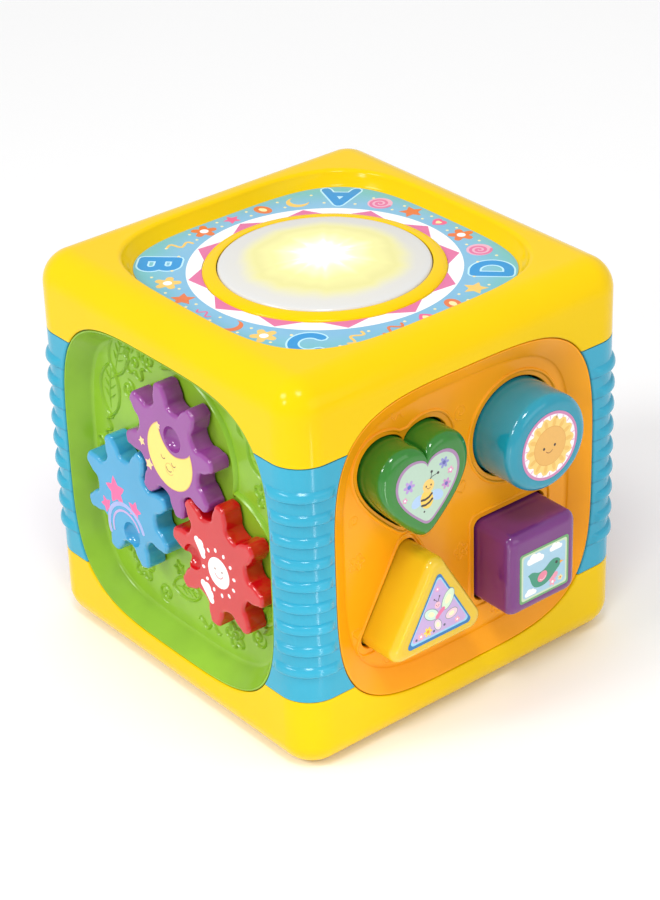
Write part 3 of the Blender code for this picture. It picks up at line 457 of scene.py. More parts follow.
def bezier(points, steps):
    made = []
    for k in range(1, steps + 1):
        t = k / steps
        weights = ((1 - t) ** 3, 3 * t * (1 - t) ** 2, 3 * t * t * (1 - t), t ** 3)
        x = sum(w * p[0] for w, p in zip(weights, points))
        y = sum(w * p[1] for w, p in zip(weights, points))
        made.append((x, y))
    return made


def heart_outline(width, height, fine=4):
    """A heart centred on its own box, anticlockwise from the notch."""
    curves = [
        [(0.0, 0.37), (0.02, 0.45), (0.11, 0.5), (0.225, 0.5)],
        [(0.225, 0.5), (0.38, 0.5), (0.5, 0.37), (0.5, 0.19)],
        [(0.5, 0.19), (0.5, -0.05), (0.26, -0.30), (0.085, -0.46)],
        [(0.085, -0.46), (0.05, -0.49), (0.02, -0.5), (0.0, -0.5)],
    ]
    half = [(0.0, 0.37)]
    for points, steps in zip(curves, (3, 5, 5, 2)):
        half += bezier(points, steps * fine)
    other = [(-x, y) for x, y in reversed(half[1:-1])]
    outline = [(x * width, y * height) for x, y in half + other]
    return outline[::-1]


def triangle_outline(width, height, rounding=6.0, steps=16):
    """A triangle with round corners, point up, centred on its own box."""
    half_base = width / 2 - rounding
    inner_height = height - 2 * rounding
    corners = [(-half_base, -inner_height / 2), (half_base, -inner_height / 2), (0.0, inner_height / 2)]
    outline = []
    for k, (x, y) in enumerate(corners):
        into = Vector((x, y)) - Vector(corners[k - 1])
        out = Vector(corners[(k + 1) % 3]) - Vector((x, y))
        first = math.atan2(-into.x, into.y)
        last = math.atan2(-out.x, out.y)
        while last < first:
            last += 2 * math.pi
        for j in range(steps + 1):
            angle = first + (last - first) * j / steps
            outline.append((x + rounding * math.cos(angle), y + rounding * math.sin(angle)))
    return outline


def square_outline(width, height, rounding=4.6, steps=12):
    outline = []
    for k, (sx, sy) in enumerate(((1, 1), (-1, 1), (-1, -1), (1, -1))):
        for j in range(steps + 1):
            angle = 0.5 * math.pi * (k + j / steps)
            x = sx * (width / 2 - rounding) + rounding * math.cos(angle)
            y = sy * (height / 2 - rounding) + rounding * math.sin(angle)
            outline.append((x, y))
    return outline


def round_outline(width, height):
    return oval(width, height, 96)


def star(outer, inner):
    """A star with five points, one of them up."""
    outline = []
    for k in range(10):
        radius = outer if k % 2 == 0 else inner
        angle = math.radians(90.0 + 36.0 * k)
        outline.append((radius * math.cos(angle), radius * math.sin(angle)))
    return outline


def flower(outer, petals=5, depth=0.3):
    """A rounded flower: its radius swings between outer and outer times one less depth."""
    outline = []
    count = petals * 12
    for k in range(count):
        angle = 2 * math.pi * k / count
        radius = outer * (1 - depth * (0.5 - 0.5 * math.cos(petals * angle)) ** 1.6)
        outline.append((radius * math.cos(angle), radius * math.sin(angle)))
    return outline


def spiral(turns, radius, count=40):
    made = []
    for k in range(count + 1):
        share = k / count
        angle = 2 * math.pi * turns * share
        made.append((radius * share * math.cos(angle), radius * share * math.sin(angle)))
    return made


def arc(radius, first, last, count=16, centre=(0.0, 0.0)):
    made = []
    for k in range(count + 1):
        angle = math.radians(first + (last - first) * k / count)
        made.append((centre[0] + radius * math.cos(angle), centre[1] + radius * math.sin(angle)))
    return made


def ribbon(path, width):
    """The outline of a line of this width along a path, with round ends."""
    left, right = [], []
    last = len(path) - 1
    for k, point in enumerate(path):
        along = (Vector(path[min(k + 1, last)]) - Vector(path[max(k - 1, 0)])).normalized()
        across = Vector((-along.y, along.x)) * width / 2
        left.append((point[0] + across.x, point[1] + across.y))
        right.append((point[0] - across.x, point[1] - across.y))
    caps = []
    for end, other in ((path[last], path[last - 1]), (path[0], path[1])):
        out = (Vector(end) - Vector(other)).normalized()
        side = Vector((-out.y, out.x))
        cap = []
        for degrees in (-45, 0, 45):
            turn = math.radians(degrees)
            spot = Vector(end) + (out * math.cos(turn) + side * math.sin(turn)) * width / 2
            cap.append((spot.x, spot.y))
        caps.append(cap)
    return right + caps[0] + left[::-1] + caps[1]


# ---------------------------------------------------------------- meshes


class Shape:
    """Points and faces gathered for one piece. A face's paint is its finish's place in the piece's list."""

    def __init__(self):
        self.points = []
        self.faces = []
        self.paints = []

    def add(self, points, faces, paint=0):
        first = len(self.points)
        self.points += [tuple(point) for point in points]
        for face in faces:
            self.faces.append([first + k for k in face])
            self.paints.append(paint)
        return self

    def loft(self, rings, paint=0, looped=False, end_paint=None):
        """Skins rings of equal point counts. The end paint, if given, goes on the last band and cap."""
        count = len(rings[0])
        first = len(self.points)
        self.add([point for ring in rings for point in ring], [])
        bands = len(rings) if looped else len(rings) - 1
        last_paint = paint if end_paint is None else end_paint
        for i in range(bands):
            a = first + i * count
            b = first + ((i + 1) % len(rings)) * count
            for k in range(count):
                n = (k + 1) % count
                self.faces.append([a + k, a + n, b + n, b + k])
                self.paints.append(last_paint if i == bands - 1 else paint)
        if not looped:
            self.faces.append([first + k for k in range(count)])
            self.faces.append([first + (len(rings) - 1) * count + k for k in range(count)])
            self.paints += [paint, last_paint]
        return self

    def slab(self, outline, low, high, paint=0):
        return self.loft([lifted(outline, low), lifted(outline, high)], paint)

    def band(self, outer, inner, low, high, paint=0):
        """A flat ring between two outlines of equal point counts."""
        rings = [lifted(outer, low), lifted(outer, high), lifted(inner, high), lifted(inner, low)]
        return self.loft(rings, paint, looped=True)

    def turned(self, profile, count=96, centre=(0.0, 0.0), looped=False, paint=0):
        """A body turned about Z from (radius, z) pairs. A radius of zero makes a point on the axis."""
        points, rows, faces = [], [], []
        for radius, z in profile:
            if radius == 0.0:
                rows.append([len(points)] * count)
                points.append((centre[0], centre[1], z))
                continue
            rows.append(list(range(len(points), len(points) + count)))
            for x, y in circle(radius, count):
                points.append((centre[0] + x, centre[1] + y, z))
        for i in range(len(rows) if looped else len(rows) - 1):
            upper, lower = rows[i], rows[(i + 1) % len(rows)]
            for k in range(count):
                n = (k + 1) % count
                face = list(dict.fromkeys((upper[k], upper[n], lower[n], lower[k])))
                if len(face) > 2:
                    faces.append(face)
        if not looped:
            for row, (radius, _) in ((rows[0], profile[0]), (rows[-1], profile[-1])):
                if radius > 0.0:
                    faces.append(row)
        return self.add(points, faces, paint)

    def ridge(self, path, width, height, floor, closed=False, paint=0):
        """A soft raised line on a floor, along a path."""
        half = [(0.5, -0.35), (0.42, 0.0), (0.22, 0.62)]
        section = [(-a, b) for a, b in half] + [(0.0, 1.0)] + half[::-1]
        rings = []
        count = len(path)
        for k, point in enumerate(path):
            if closed:
                along = Vector(path[(k + 1) % count]) - Vector(path[k - 1])
            else:
                along = Vector(path[min(k + 1, count - 1)]) - Vector(path[max(k - 1, 0)])
            along.normalize()
            size = 1.0
            if not closed:
                size = min(1.0, 0.25 + 0.4 * min(k, count - 1 - k))
            rings.append([(point[0] - along.y * a * width * size, point[1] + along.x * a * width * size,
                           floor + height * b * size) for a, b in section])
        return self.loft(rings, paint, looped=closed)


def solid(name, shape, finishes, place=None, sharp=35.0, even=False):
    """A mesh object in the cube's frame. Even adds weighted normals, so that flat faces look flat."""
    mesh = bpy.data.meshes.new(name)
    turn = place or Matrix.Identity(4)
    mesh.from_pydata([(turn @ Vector(point)) * MM for point in shape.points], [], shape.faces)
    for finish in finishes:
        mesh.materials.append(finish)
    mesh.polygons.foreach_set("material_index", shape.paints)
    made = bmesh.new()
    made.from_mesh(mesh)
    bmesh.ops.recalc_face_normals(made, faces=made.faces)
    made.to_mesh(mesh)
    made.free()
    shade(mesh, sharp)
    thing = bpy.data.objects.new(name, mesh)
    bpy.context.scene.collection.objects.link(thing)
    if even:
        weighted = thing.modifiers.new("even_faces", "WEIGHTED_NORMAL")
        weighted.keep_sharp = True
        weighted.weight = 90
    return thing


def shade(mesh, sharp=35.0):
    mesh.shade_smooth()
    mesh.set_sharp_from_angle(angle=math.radians(sharp))


def cut(thing, *cutters, sharp=35.0):
    """Cuts the other objects from this one and removes them."""
    for cutter in cutters:
        change = thing.modifiers.new("cut", "BOOLEAN")
        change.operation = "DIFFERENCE"
        change.solver = "EXACT"
        change.object = cutter
        others = [m for m in thing.modifiers if m is not change and m.type != "BOOLEAN"]
        for other in others:
            other.show_viewport = False
        bpy.context.view_layer.update()
        graph = bpy.context.evaluated_depsgraph_get()
        finishes = list(thing.data.materials)
        mesh = bpy.data.meshes.new_from_object(thing.evaluated_get(graph))
        thing.modifiers.remove(change)
        for other in others:
            other.show_viewport = True
        thing.data = mesh
        mesh.materials.clear()
        for finish in finishes:
            mesh.materials.append(finish)
        shade(mesh, sharp)
        bpy.data.objects.remove(cutter, do_unlink=True)
    return thing


def settle(thing, body, slot, *nodes):
    """Makes a finished piece ride on its body and hides the CAD nodes it takes the place of. The slot is not
    used.
    """
    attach(thing, body)
    if nodes:
        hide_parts(*nodes)
    return thing


# ---------------------------------------------------------------- housing


def flared_cutter(name, outline_at, half, out, place):
    """A prism through the cube whose ends flare, so that the edge it leaves in a flat face is rounded."""
    rings = []
    roll = 0.9
    profile = [(half + roll + 0.6, out + 4.0), (half + roll, out + 0.02)]
    for inset, rise in fillet(roll, 5)[1:]:
        profile.append((half + roll - rise, out - inset))
    for reach, z in profile:
        rings.append(lifted(outline_at(reach), z))
    for reach, z in reversed(profile):
        rings.append(lifted(outline_at(reach), -z))
    return solid(name, Shape().loft(rings), [], place)


def side_cutters():
    """Two prisms through the cube, which open all four sides."""
    return [flared_cutter("cutter_" + side, side_squircle, OPENING_HALF, CUBE_HALF, middle_of_side(side))
            for side in ("gear", "sorter")]


def build_top_cap():
    rings = []
    for inset, up in ((0.35, 0.0), (0.1, 0.1), (0.0, 0.35)):
        rings.append(lifted(rounded_square(CUBE_HALF - inset, CORNER_RADIUS - inset), UPPER_SEAM_Z + up))
    fillet_z = CUBE_TOP - TOP_FILLET
    for inset, rise in fillet(TOP_FILLET, 14):
        outline = rounded_square(CUBE_HALF - inset, max(CORNER_RADIUS - inset, 1.2))
        rings.append(lifted(outline, fillet_z + rise))
    lip = 2.4
    for inset, rise in fillet(lip, 6, 80.0):
        rings.append(lifted(squircle(WELL_HALF - rise), CUBE_TOP - inset))
    for half, up in ((80.1, 4.4), (79.1, 2.6), (78.3, 1.3), (77.9, 0.55), (77.3, 0.1), (76.9, 0.0)):
        rings.append(lifted(squircle(half), WELL_FLOOR_Z + up))
    hole = circle(LENS_RADIUS + 0.8, 4 * QUARTER)
    rings.append(lifted(hole, WELL_FLOOR_Z))
    rings.append(lifted(hole, COLLAR_END_Z))
    collar = circle(COLLAR_RADIUS, 4 * QUARTER)
    rings.append(lifted(collar, COLLAR_END_Z))
    rings.append(lifted(collar, WELL_FLOOR_Z - WELL_FLOOR_THICKNESS))
    rings.append(lifted(squircle(WELL_HALF - 2.4), WELL_FLOOR_Z - WELL_FLOOR_THICKNESS))
    rings.append(lifted(squircle(WELL_HALF + 0.9), 194.0))
    inner = TOP_FILLET - SHELL
    for degrees in (50, 25, 0):
        angle = math.radians(degrees)
        outline = rounded_square(CUBE_HALF - TOP_FILLET + inner * math.cos(angle), CORNER_RADIUS - SHELL)
        rings.append(lifted(outline, fillet_z + inner * math.sin(angle)))
    rings.append(lifted(rounded_square(CUBE_HALF - SHELL, CORNER_RADIUS - SHELL), UPPER_SEAM_Z))
    cap = solid("top_cap_shell", Shape().loft(rings, looped=True), [YELLOW], even=True)
    cut(cap, *side_cutters())
    settle(cap, "housing", "yellow", "top_cap")


def build_bottom_cap():
    rings = []
    for inset, rise in reversed(fillet(BOTTOM_FILLET, 12)):
        outline = rounded_square(CUBE_HALF - inset, max(CORNER_RADIUS - inset, 3.0))
        rings.append(lifted(outline, BOTTOM_FILLET - rise))
    for inset, down in ((0.0, 0.35), (0.1, 0.1), (0.35, 0.0)):
        rings.append(lifted(rounded_square(CUBE_HALF - inset, CORNER_RADIUS - inset), LOWER_SEAM_Z - down))
    rings.append(lifted(rounded_square(CUBE_HALF - SHELL, CORNER_RADIUS - SHELL), LOWER_SEAM_Z))
    inner = BOTTOM_FILLET - SHELL
    for inset, rise in fillet(inner, 3):
        outline = rounded_square(CUBE_HALF - SHELL - inset, max(CORNER_RADIUS - SHELL - inset, 3.0))
        rings.append(lifted(outline, BOTTOM_FILLET - rise))
    cap = solid("bottom_cap_shell", Shape().loft(rings), [YELLOW], even=True)
    cut(cap, *side_cutters())
    low, high = low_high("battery_door")
    middle = (low + high) / 2
    hole = square_outline(high.x - low.x + 0.7, high.y - low.y + 0.7, 1.0)
    cutter = Shape().slab(moved(hole, middle.x, middle.y), -5.0, 12.0)
    cut(cap, solid("battery_cutter", cutter, []))
    settle(cap, "housing", "yellow", "bottom_cap")


def opening_half_width(z):
    rise = abs(z - PANEL_CENTRE_Z) / OPENING_HALF
    return OPENING_HALF * (1 - rise ** PANEL_EXPONENT) ** (1 / PANEL_EXPONENT)


def smooth(share):
    share = max(0.0, min(1.0, share))
    return share * share * (3 - 2 * share)


def rib_swell(z):
    """How far a grip rib stands out at this height: a bar that is steep below and rounded off above."""
    place = (z - RIB_FIRST_Z) / RIB_PITCH
    share = place % 1.0
    if not 0.0 <= place < RIB_COUNT or not RIB_START < share < RIB_STOP:
        return 0.0
    if share < RIB_CREST:
        reach = (RIB_CREST - share) / (RIB_CREST - RIB_START)
    else:
        reach = (share - RIB_CREST) / (RIB_STOP - RIB_CREST)
    return RIB_HEIGHT * math.sqrt(1 - reach ** 2)


def post_outline(z, swell):
    """The section of a corner post between two openings. Its ribs grow from the openings to the corner."""
    edge = opening_half_width(z)
    middle = CUBE_HALF - CORNER_RADIUS
    flat = max(middle - edge, 0.0)
    roll = 0.9
    half = [(CUBE_HALF - roll + rise, edge + inset) for inset, rise in fillet(roll, 4)]
    for k in range(1, 7):
        along = roll + (flat - roll) * k / 6 if flat > roll else roll
        half.append((CUBE_HALF + swell * smooth((along - 0.9) / 5.0), edge + along))
    for k in range(1, 13):
        angle = 0.25 * math.pi * k / 12
        run = flat + CORNER_RADIUS * angle
        reach = CORNER_RADIUS + swell * smooth((run - 0.9) / 5.0)
        half.append((middle + reach * math.cos(angle), middle + reach * math.sin(angle)))
    outline = half + [(y, x) for x, y in reversed(half[:-1])]
    outline.append((edge, CUBE_HALF - SHELL))
    inner = []
    for k in range(7):
        angle = 0.5 * math.pi * (6 - k) / 6
        reach = CORNER_RADIUS - SHELL
        inner.append((middle + reach * math.cos(angle), middle + reach * math.sin(angle)))
    outline += inner
    outline.append((CUBE_HALF - SHELL, edge))
    return outline


def build_posts():
    low, high = low_high("post_front_right")[0].z, low_high("post_front_right")[1].z
    steps = 340
    levels = [low + (high - low) * k / steps for k in range(steps + 1)]
    for name, turn in (("back_right", 0), ("back_left", 90), ("front_left", 180), ("front_right", 270)):
        rings = [lifted(post_outline(z, rib_swell(z)), z) for z in levels]
        place = Matrix.Rotation(math.radians(turn), 4, "Z")
        post = solid("grip_post_" + name, Shape().loft(rings), [GRIP_BLUE_RIB_SHADE], place)
        settle(post, "housing", "sky_blue", "post_" + name)


# ---------------------------------------------------------------- side panels


def dish_shape(floor, floor_half):
    """A side panel: a recessed floor, walls that roll into it and the rim, and a flange at the back."""
    run = PANEL_HALF - 0.6 - floor_half
    rise = 99.4 - floor
    profile = [(floor_half - 1.6 + rise, floor + inset) for inset, rise in fillet(2.4, 6, 66.0)]
    start = profile[-1]
    end = (floor_half + run * 0.95, floor + rise * 0.95)
    for share in (0.3, 0.6, 1.0):
        profile.append((start[0] + (end[0] - start[0]) * share, start[1] + (end[1] - start[1]) * share))
    for inset, out in ((0.75, 99.25), (0.45, 99.4), (0.15, 99.35), (0.0, 99.1), (0.0, 96.6)):
        profile.append((PANEL_HALF - inset, out))
    profile += [(83.0, 96.6), (83.0, 94.4), (PANEL_HALF + 1.2, 94.4), (floor_half + 2.2, floor - 2.5)]
    return Shape().loft([lifted(side_squircle(half), out) for half, out in profile])


def doodle(shape, kind, x, y, size, turn, width, height, floor):
    """One embossed doodle: a flower, leaf, swirl, star, heart or ring drawn with raised lines."""
    def line(path, closed=False, share=1.0):
        shape.ridge(moved(path, x, y, turn, size), width * share, height, floor, closed)

    if kind == "flower":
        line(flower(1.0, 5, 0.42), True)
        line(circle(0.24, 16), True)
    elif kind == "leaf":
        outline = [(-1.0, 0.0)] + bezier([(-1, 0), (-0.5, 0.75), (0.5, 0.7), (1, 0)], 12)
        outline += bezier([(1, 0), (0.5, -0.6), (-0.5, -0.65), (-1, 0)], 12)[:-1]
        line(outline[::-1], True)
        line([(-0.7, 0.0), (-0.2, 0.06), (0.3, 0.04), (0.72, 0.0)])
        for k in range(3):
            for middle, end in ((0.16, 0.30), (-0.12, -0.26)):
                vein = [(-0.35, 0.03), (-0.2, middle), (-0.05, end)]
                line(moved(vein, 0.35 * k), False, 0.7)
    elif kind == "swirl":
        line(spiral(1.7, 1.0, 30)[3:])
    elif kind == "star":
        line(star(1.0, 0.46), True)
    elif kind == "heart":
        line(heart_outline(1.8, 1.7, 2), True)
    elif kind == "ring":
        line(circle(1.0, 24), True)
        line(circle(0.45, 16), True)
    elif kind == "wave":
        line([(0.16 * k - 1.2, 0.3 * math.sin(k * 0.8)) for k in range(16)])


# A kind, a place from the side's middle, a size and a turn.
GREEN_DOODLES = [
    ("leaf", -46, 60, 11, 68), ("leaf", -55, 38, 12, 84), ("flower", -33, 61, 7, 10),
    ("swirl", -22, 66, 4.5, 40), ("swirl", -40, 44, 4.5, 200), ("wave", -58, 18, 5, 75),
    ("flower", -62, 4, 5.5, 0), ("leaf", 58, 48, 9, 120), ("swirl", 50, 60, 5, 0),
    ("flower", 62, 30, 5.5, 20), ("star", 66, 12, 3.6, 0), ("wave", 67, -6, 4, 95),
    ("swirl", -62, -18, 4.5, 90), ("leaf", -56, -40, 9, -50), ("flower", -38, -52, 6.5, 15),
    ("swirl", -20, -60, 4.5, 30), ("leaf", -3, -50, 9, 10), ("heart", -8, -24, 3.6, 10),
    ("wave", 14, -62, 6, 5), ("flower", 34, -58, 5.5, 40), ("swirl", 52, -50, 4.5, 130),
    ("leaf", 62, -34, 7, 60), ("ring", -30, 26, 3.0, 0), ("star", -8, -40, 3.0, 20),
]
ORANGE_DOODLES = [
    ("flower", -4, 34, 5.0, 10), ("swirl", 2, 52, 4.5, 40), ("leaf", -8, 62, 8, 10),
    ("heart", 2, 12, 3.4, 15), ("flower", -61, -2, 4.5, 0), ("wave", -40, 0, 6, 5),
    ("swirl", -20, -1, 4.0, 70), ("star", 32, 0.5, 3.4, 12), ("leaf", 60, 2, 7, 86),
    ("swirl", 62, 34, 3.6, 20), ("flower", 2, -22, 4.6, 30), ("swirl", 1, -42, 4.2, 10),
    ("leaf", -2, -60, 8, -8), ("heart", -62, -40, 3.0, 0), ("swirl", -44, -61, 3.6, 120),
    ("flower", 24, -62, 4.0, 0), ("swirl", 62, -30, 4.0, 200), ("star", 56, -54, 3.0, 0),
    ("swirl", -62, 20, 3.4, 0), ("leaf", 36, 63, 6, 0), ("wave", -36, 63.5, 4, 0),
    ("ring", 58, -10, 2.4, 0),
]


# The raised arcs that follow two of the gears.
GUARD_RADIUS = 37.2
GUARD_WIDTH = 3.6
GUARD_HEIGHT = 1.9


def build_gear_panel():
    panel = solid("gear_panel_dish", dish_shape(GEAR_FLOOR, GEAR_FLOOR_HALF), [LIME],
                  middle_of_side("gear"), even=True)
    for colour in GEAR_COLOURS:
        bore = Shape().turned([(5.6, 78.0), (5.6, 92.0)], 40)
        cut(panel, solid("bore", bore, [], on_side("gear", *gear_centre(colour))))
    settle(panel, "housing", "lime", "gear_panel")
    raised = Shape()
    for colour, first, last in (("purple", -20, 118), ("red", -60, 88)):
        x, z = gear_centre(colour)
        path = arc(GUARD_RADIUS, first, last, 60, (x, z - PANEL_CENTRE_Z))
        raised.ridge(path, GUARD_WIDTH, GUARD_HEIGHT, GEAR_FLOOR)
    for kind, x, y, size, turn in GREEN_DOODLES:
        doodle(raised, kind, x, y, size * 1.25, turn, 2.1, 1.1, GEAR_FLOOR)
    relief = solid("gear_panel_relief", raised, [LIME], middle_of_side("gear"), sharp=80.0)
    settle(relief, "housing", "lime")


# ---------------------------------------------------------------- gears


GEAR_TEETH = 8
GEAR_PITCH_RADIUS = 57.3 / 2
GEAR_TIP_RADIUS = 33.9
GEAR_ROOT_RADIUS = 23.0
GEAR_PRESSURE_ANGLE = math.radians(28.0)
GEAR_TOOTH = 10.0
GEAR_TIP_ROUNDING = 2.7
GEAR_CAP_RADIUS = 20.0
GEAR_BACK = 88.7
GEAR_FRONT = 99.3
GEAR_THICKNESS = GEAR_FRONT - GEAR_BACK
PURPLE_PHASE = math.radians(-80.4)
DIMPLES = {"purple": (4.5, 8.5), "red": (-18.0, -2.6), "blue": (3.2, -16.4)}


def gear_centre(colour):
    spot = JOINTS[colour + "_gear_spin"]["pos_m"]
    return spot[0] / MM, spot[2] / MM


def gear_phase(colour):
    """The angle of one tooth: the outer gears' teeth fall in the purple one's gaps."""
    if colour == "purple":
        return PURPLE_PHASE
    x, z = gear_centre("purple")
    other_x, other_z = gear_centre(colour)
    direction = math.atan2(other_z - z, other_x - x)
    return direction + math.pi + math.pi / GEAR_TEETH - (PURPLE_PHASE - direction)


def involute(angle):
    return math.tan(angle) - angle


def gear_side(fine=5):
    """Half a tooth from root to tip, as points beside the tooth's own middle line on +X."""
    base = GEAR_PITCH_RADIUS * math.cos(GEAR_PRESSURE_ANGLE)
    half_at_pitch = GEAR_TOOTH / 2 / GEAR_PITCH_RADIUS + involute(GEAR_PRESSURE_ANGLE)

    def half_tooth(radius):
        return half_at_pitch - (involute(math.acos(base / radius)) if radius > base else 0.0)

    step = 2 * math.pi / GEAR_TEETH
    side = []
    for k in range(2 * fine):
        turn = 0.5 * math.pi * k / (2 * fine)
        radius = GEAR_ROOT_RADIUS + (base - GEAR_ROOT_RADIUS) * (1 - math.cos(turn))
        side.append((radius, step / 2 - (step / 2 - half_tooth(base)) * math.sin(turn)))
    last = GEAR_TIP_RADIUS - GEAR_TIP_ROUNDING
    for k in range(fine + 1):
        radius = base + (last - base) * k / fine
        side.append((radius, half_tooth(radius)))
    for k in range(1, 2 * fine + 1):
        turn = 0.5 * math.pi * k / (2 * fine)
        flat = 0.022
        angle = flat + (half_tooth(last) - flat) * math.cos(turn)
        side.append((last + (GEAR_TIP_RADIUS - last) * math.sin(turn), angle))
    return [(radius * math.cos(angle), -radius * math.sin(angle)) for radius, angle in side]


def gear_outline(phase, inset):
    """A gear's outline moved inwards. No point crosses the middle line of its own tooth."""
    side = gear_side()
    step = 2 * math.pi / GEAR_TEETH
    past_gap = step / 2 + 0.05
    gap_before = Vector((GEAR_ROOT_RADIUS * math.cos(past_gap), -GEAR_ROOT_RADIUS * math.sin(past_gap)))
    half = []
    for k, (x, y) in enumerate(side):
        before = Vector(side[k - 1]) if k else gap_before
        after = Vector(side[k + 1]) if k + 1 < len(side) else Vector((x, -y))
        along = (after - before).normalized()
        half.append((x - along.y * inset, min(y + along.x * inset, -0.12)))
    tooth = half + [(x, -y) for x, y in reversed(half[1:])]
    outline = []
    for k in range(GEAR_TEETH):
        outline += moved(tooth, turn=math.degrees(phase + k * step))
    return outline


def build_gear(colour):
    x, z = gear_centre(colour)
    phase = gear_phase(colour)
    roll = 1.9
    rings = [lifted(gear_outline(phase, 0.5), 0.0), lifted(gear_outline(phase, 0.0), 0.5)]
    for inset, rise in fillet(roll, 7):
        rings.append(lifted(gear_outline(phase, inset), GEAR_THICKNESS - roll + rise))
    rings.append(lifted(gear_outline(phase, roll + 0.1), GEAR_THICKNESS))
    place = on_side("gear", x, z, GEAR_BACK)
    inner_ring = []
    for a, b, height in rings[-1]:
        length = math.hypot(a, b)
        inner_ring.append((a * GEAR_CAP_RADIUS / length, b * GEAR_CAP_RADIUS / length, height))
    shape = Shape().loft(rings + [inner_ring], end_paint=1)
    gear = solid(colour + "_gear_body", shape, [GEAR_GLOSS[colour], GEAR_MATT[colour]], place, even=True)
    bowl = [(0.0, GEAR_THICKNESS - 4.6)]
    for k in range(1, 9):
        angle = math.radians(84) * k / 8
        bowl.append((6.3 * math.sin(angle), GEAR_THICKNESS - 0.3 - 4.3 * math.cos(angle)))
    bowl += [(6.5, GEAR_THICKNESS - 0.02), (7.0, GEAR_THICKNESS + 0.25), (7.6, GEAR_THICKNESS + 1.5)]
    dimple = solid("bowl", Shape().turned(bowl, 64, DIMPLES[colour]), [], place)
    cut(gear, dimple)
    hub = Shape().turned([(1.45, 1.5), (5.2, 1.5), (5.2, -5.6), (4.8, -6.0), (1.45, -6.0)], 40, looped=True)
    back = solid(colour + "_gear_hub", hub, [GEAR_GLOSS[colour]], place)
    body = colour + "_gear_body"
    settle(gear, body, "gear_" + colour, colour + "_gear")
    settle(back, body, "gear_" + colour)
    return place


# ---------------------------------------------------------------- printed pictures


class Picture:
    """Flat printed shapes in layers, each a thin slab whose top is a hair above the layer under it."""

    def __init__(self, surface, rise=0.0, step=0.03):
        self.shape = Shape()
        self.step = step
        self.inks = []
        self.surface = surface
        self.spot = (0.0, rise)
        self.drawn = 0

    def paint(self, colour):
        if colour not in self.inks:
            self.inks.append(colour)
        return self.inks.index(colour)

    def top_of(self, level):
        """The top of the next shape: shapes of one layer that overlap are a hair apart."""
        self.drawn += 1
        return self.surface + self.step * (level + 1 + 0.1 * (self.drawn % 9))

    def fill(self, outline, colour, level=0):
        low, high = self.surface - 0.02, self.top_of(level)
        self.shape.slab(moved(outline, *self.spot), low, high, self.paint(colour))
        return self

    def ring(self, outer, inner, colour, level=0):
        low, high = self.surface - 0.02, self.top_of(level)
        self.shape.band(moved(outer, *self.spot), moved(inner, *self.spot), low, high, self.paint(colour))
        return self

    def line(self, path, width, colour, level=0):
        return self.fill(ribbon(path, width), colour, level)

    def face(self, x, y, size, colour, level):
        """Two dot eyes and a smile."""
        for side in (-0.42, 0.42):
            eye = moved(oval(0.26, 0.32, 12), x + side * size, y + 0.12 * size, 0.0, size)
            self.fill(eye, colour, level)
        self.line(moved(arc(0.34, 215, 325, 10), x, y, 0.0, size), 0.09 * size, colour, level)

    def cloud(self, x, y, turn, size, colour, level):
        """A cloud of overlapping puffs on a flat base."""
        puffs = ((-0.52, -0.02, 0.24), (-0.2, 0.14, 0.34), (0.2, 0.1, 0.3), (0.52, -0.04, 0.22))
        outlines = [moved(circle(radius, 24), cx, cy) for cx, cy, radius in puffs]
        outlines.append(ribbon([(-0.55, -0.14), (0.0, -0.13), (0.55, -0.14)], 0.26))
        for outline in outlines:
            self.fill(moved(outline, x, y, turn, size), colour, level)

    def bloom(self, x, y, size, petals, middle, count=5, level=1):
        self.fill(moved(flower(1.0, count, 0.45), x, y, 0.0, size), petals, level)
        self.fill(moved(circle(0.34, 14), x, y, 0.0, size), middle, level + 1)

    def finish(self, name, place, body, slot):
        finishes = [ink_of(colour) for colour in self.inks]
        thing = solid(name, self.shape, finishes, place, sharp=30.0)
        return settle(thing, body, slot)


INKS = {}


def ink_of(colour):
    if colour not in INKS:
        INKS[colour] = ink("print_%02x%02x%02x" % colour, srgb(*colour))
    return INKS[colour]


WHITE = (250, 248, 250)
CREAM = (250, 232, 170)
BLACK = (52, 44, 48)
PINK = (222, 112, 160)
ROSE = (238, 96, 146)
ORANGE_INK = (228, 118, 62)
GOLD = (244, 200, 104)
LETTER_BLUE = (26, 146, 212)
PALE_CYAN = (186, 232, 248)
MOON = (246, 220, 116)
BROWN = (150, 104, 70)


def letter_strokes(letter):
    """The strokes of a capital letter about 16 high, centred on its own box."""
    if letter == "A":
        return [[(-7.6, -8.0), (0.0, 8.0)], [(7.6, -8.0), (0.0, 8.0)], [(-4.6, -3.2), (4.6, -3.2)]]
    if letter == "B":
        upper = [(-5.0, 8.0), (0.6, 8.0)] + arc(3.9, 80, -90, 14, (1.0, 4.1)) + [(-5.0, 0.2)]
        lower = [(-5.0, 0.2), (1.0, 0.2)] + arc(4.1, 80, -90, 14, (1.6, -3.9)) + [(-5.0, -8.0)]
        return [[(-5.0, -8.0), (-5.0, 8.0)], upper, lower]
    if letter == "C":
        return [[(x, y * 1.08) for x, y in arc(7.4, 48, 312, 30, (0.6, 0.0))]]
    bow = [(-5.4, 8.0), (-1.2, 8.0)] + arc(8.0, 85, -85, 24, (-1.4, 0.0)) + [(-1.2, -8.0), (-5.4, -8.0)]
    return [[(-5.4, -8.0), (-5.4, 8.0)], bow]


def print_letter(picture, letter, x, y, turn):
    for stroke in letter_strokes(letter):
        picture.fill(moved(ribbon(stroke, 6.4), x, y, turn), PALE_CYAN, 0)
        picture.fill(moved(ribbon(stroke, 4.6), x, y, turn), LETTER_BLUE, 1)


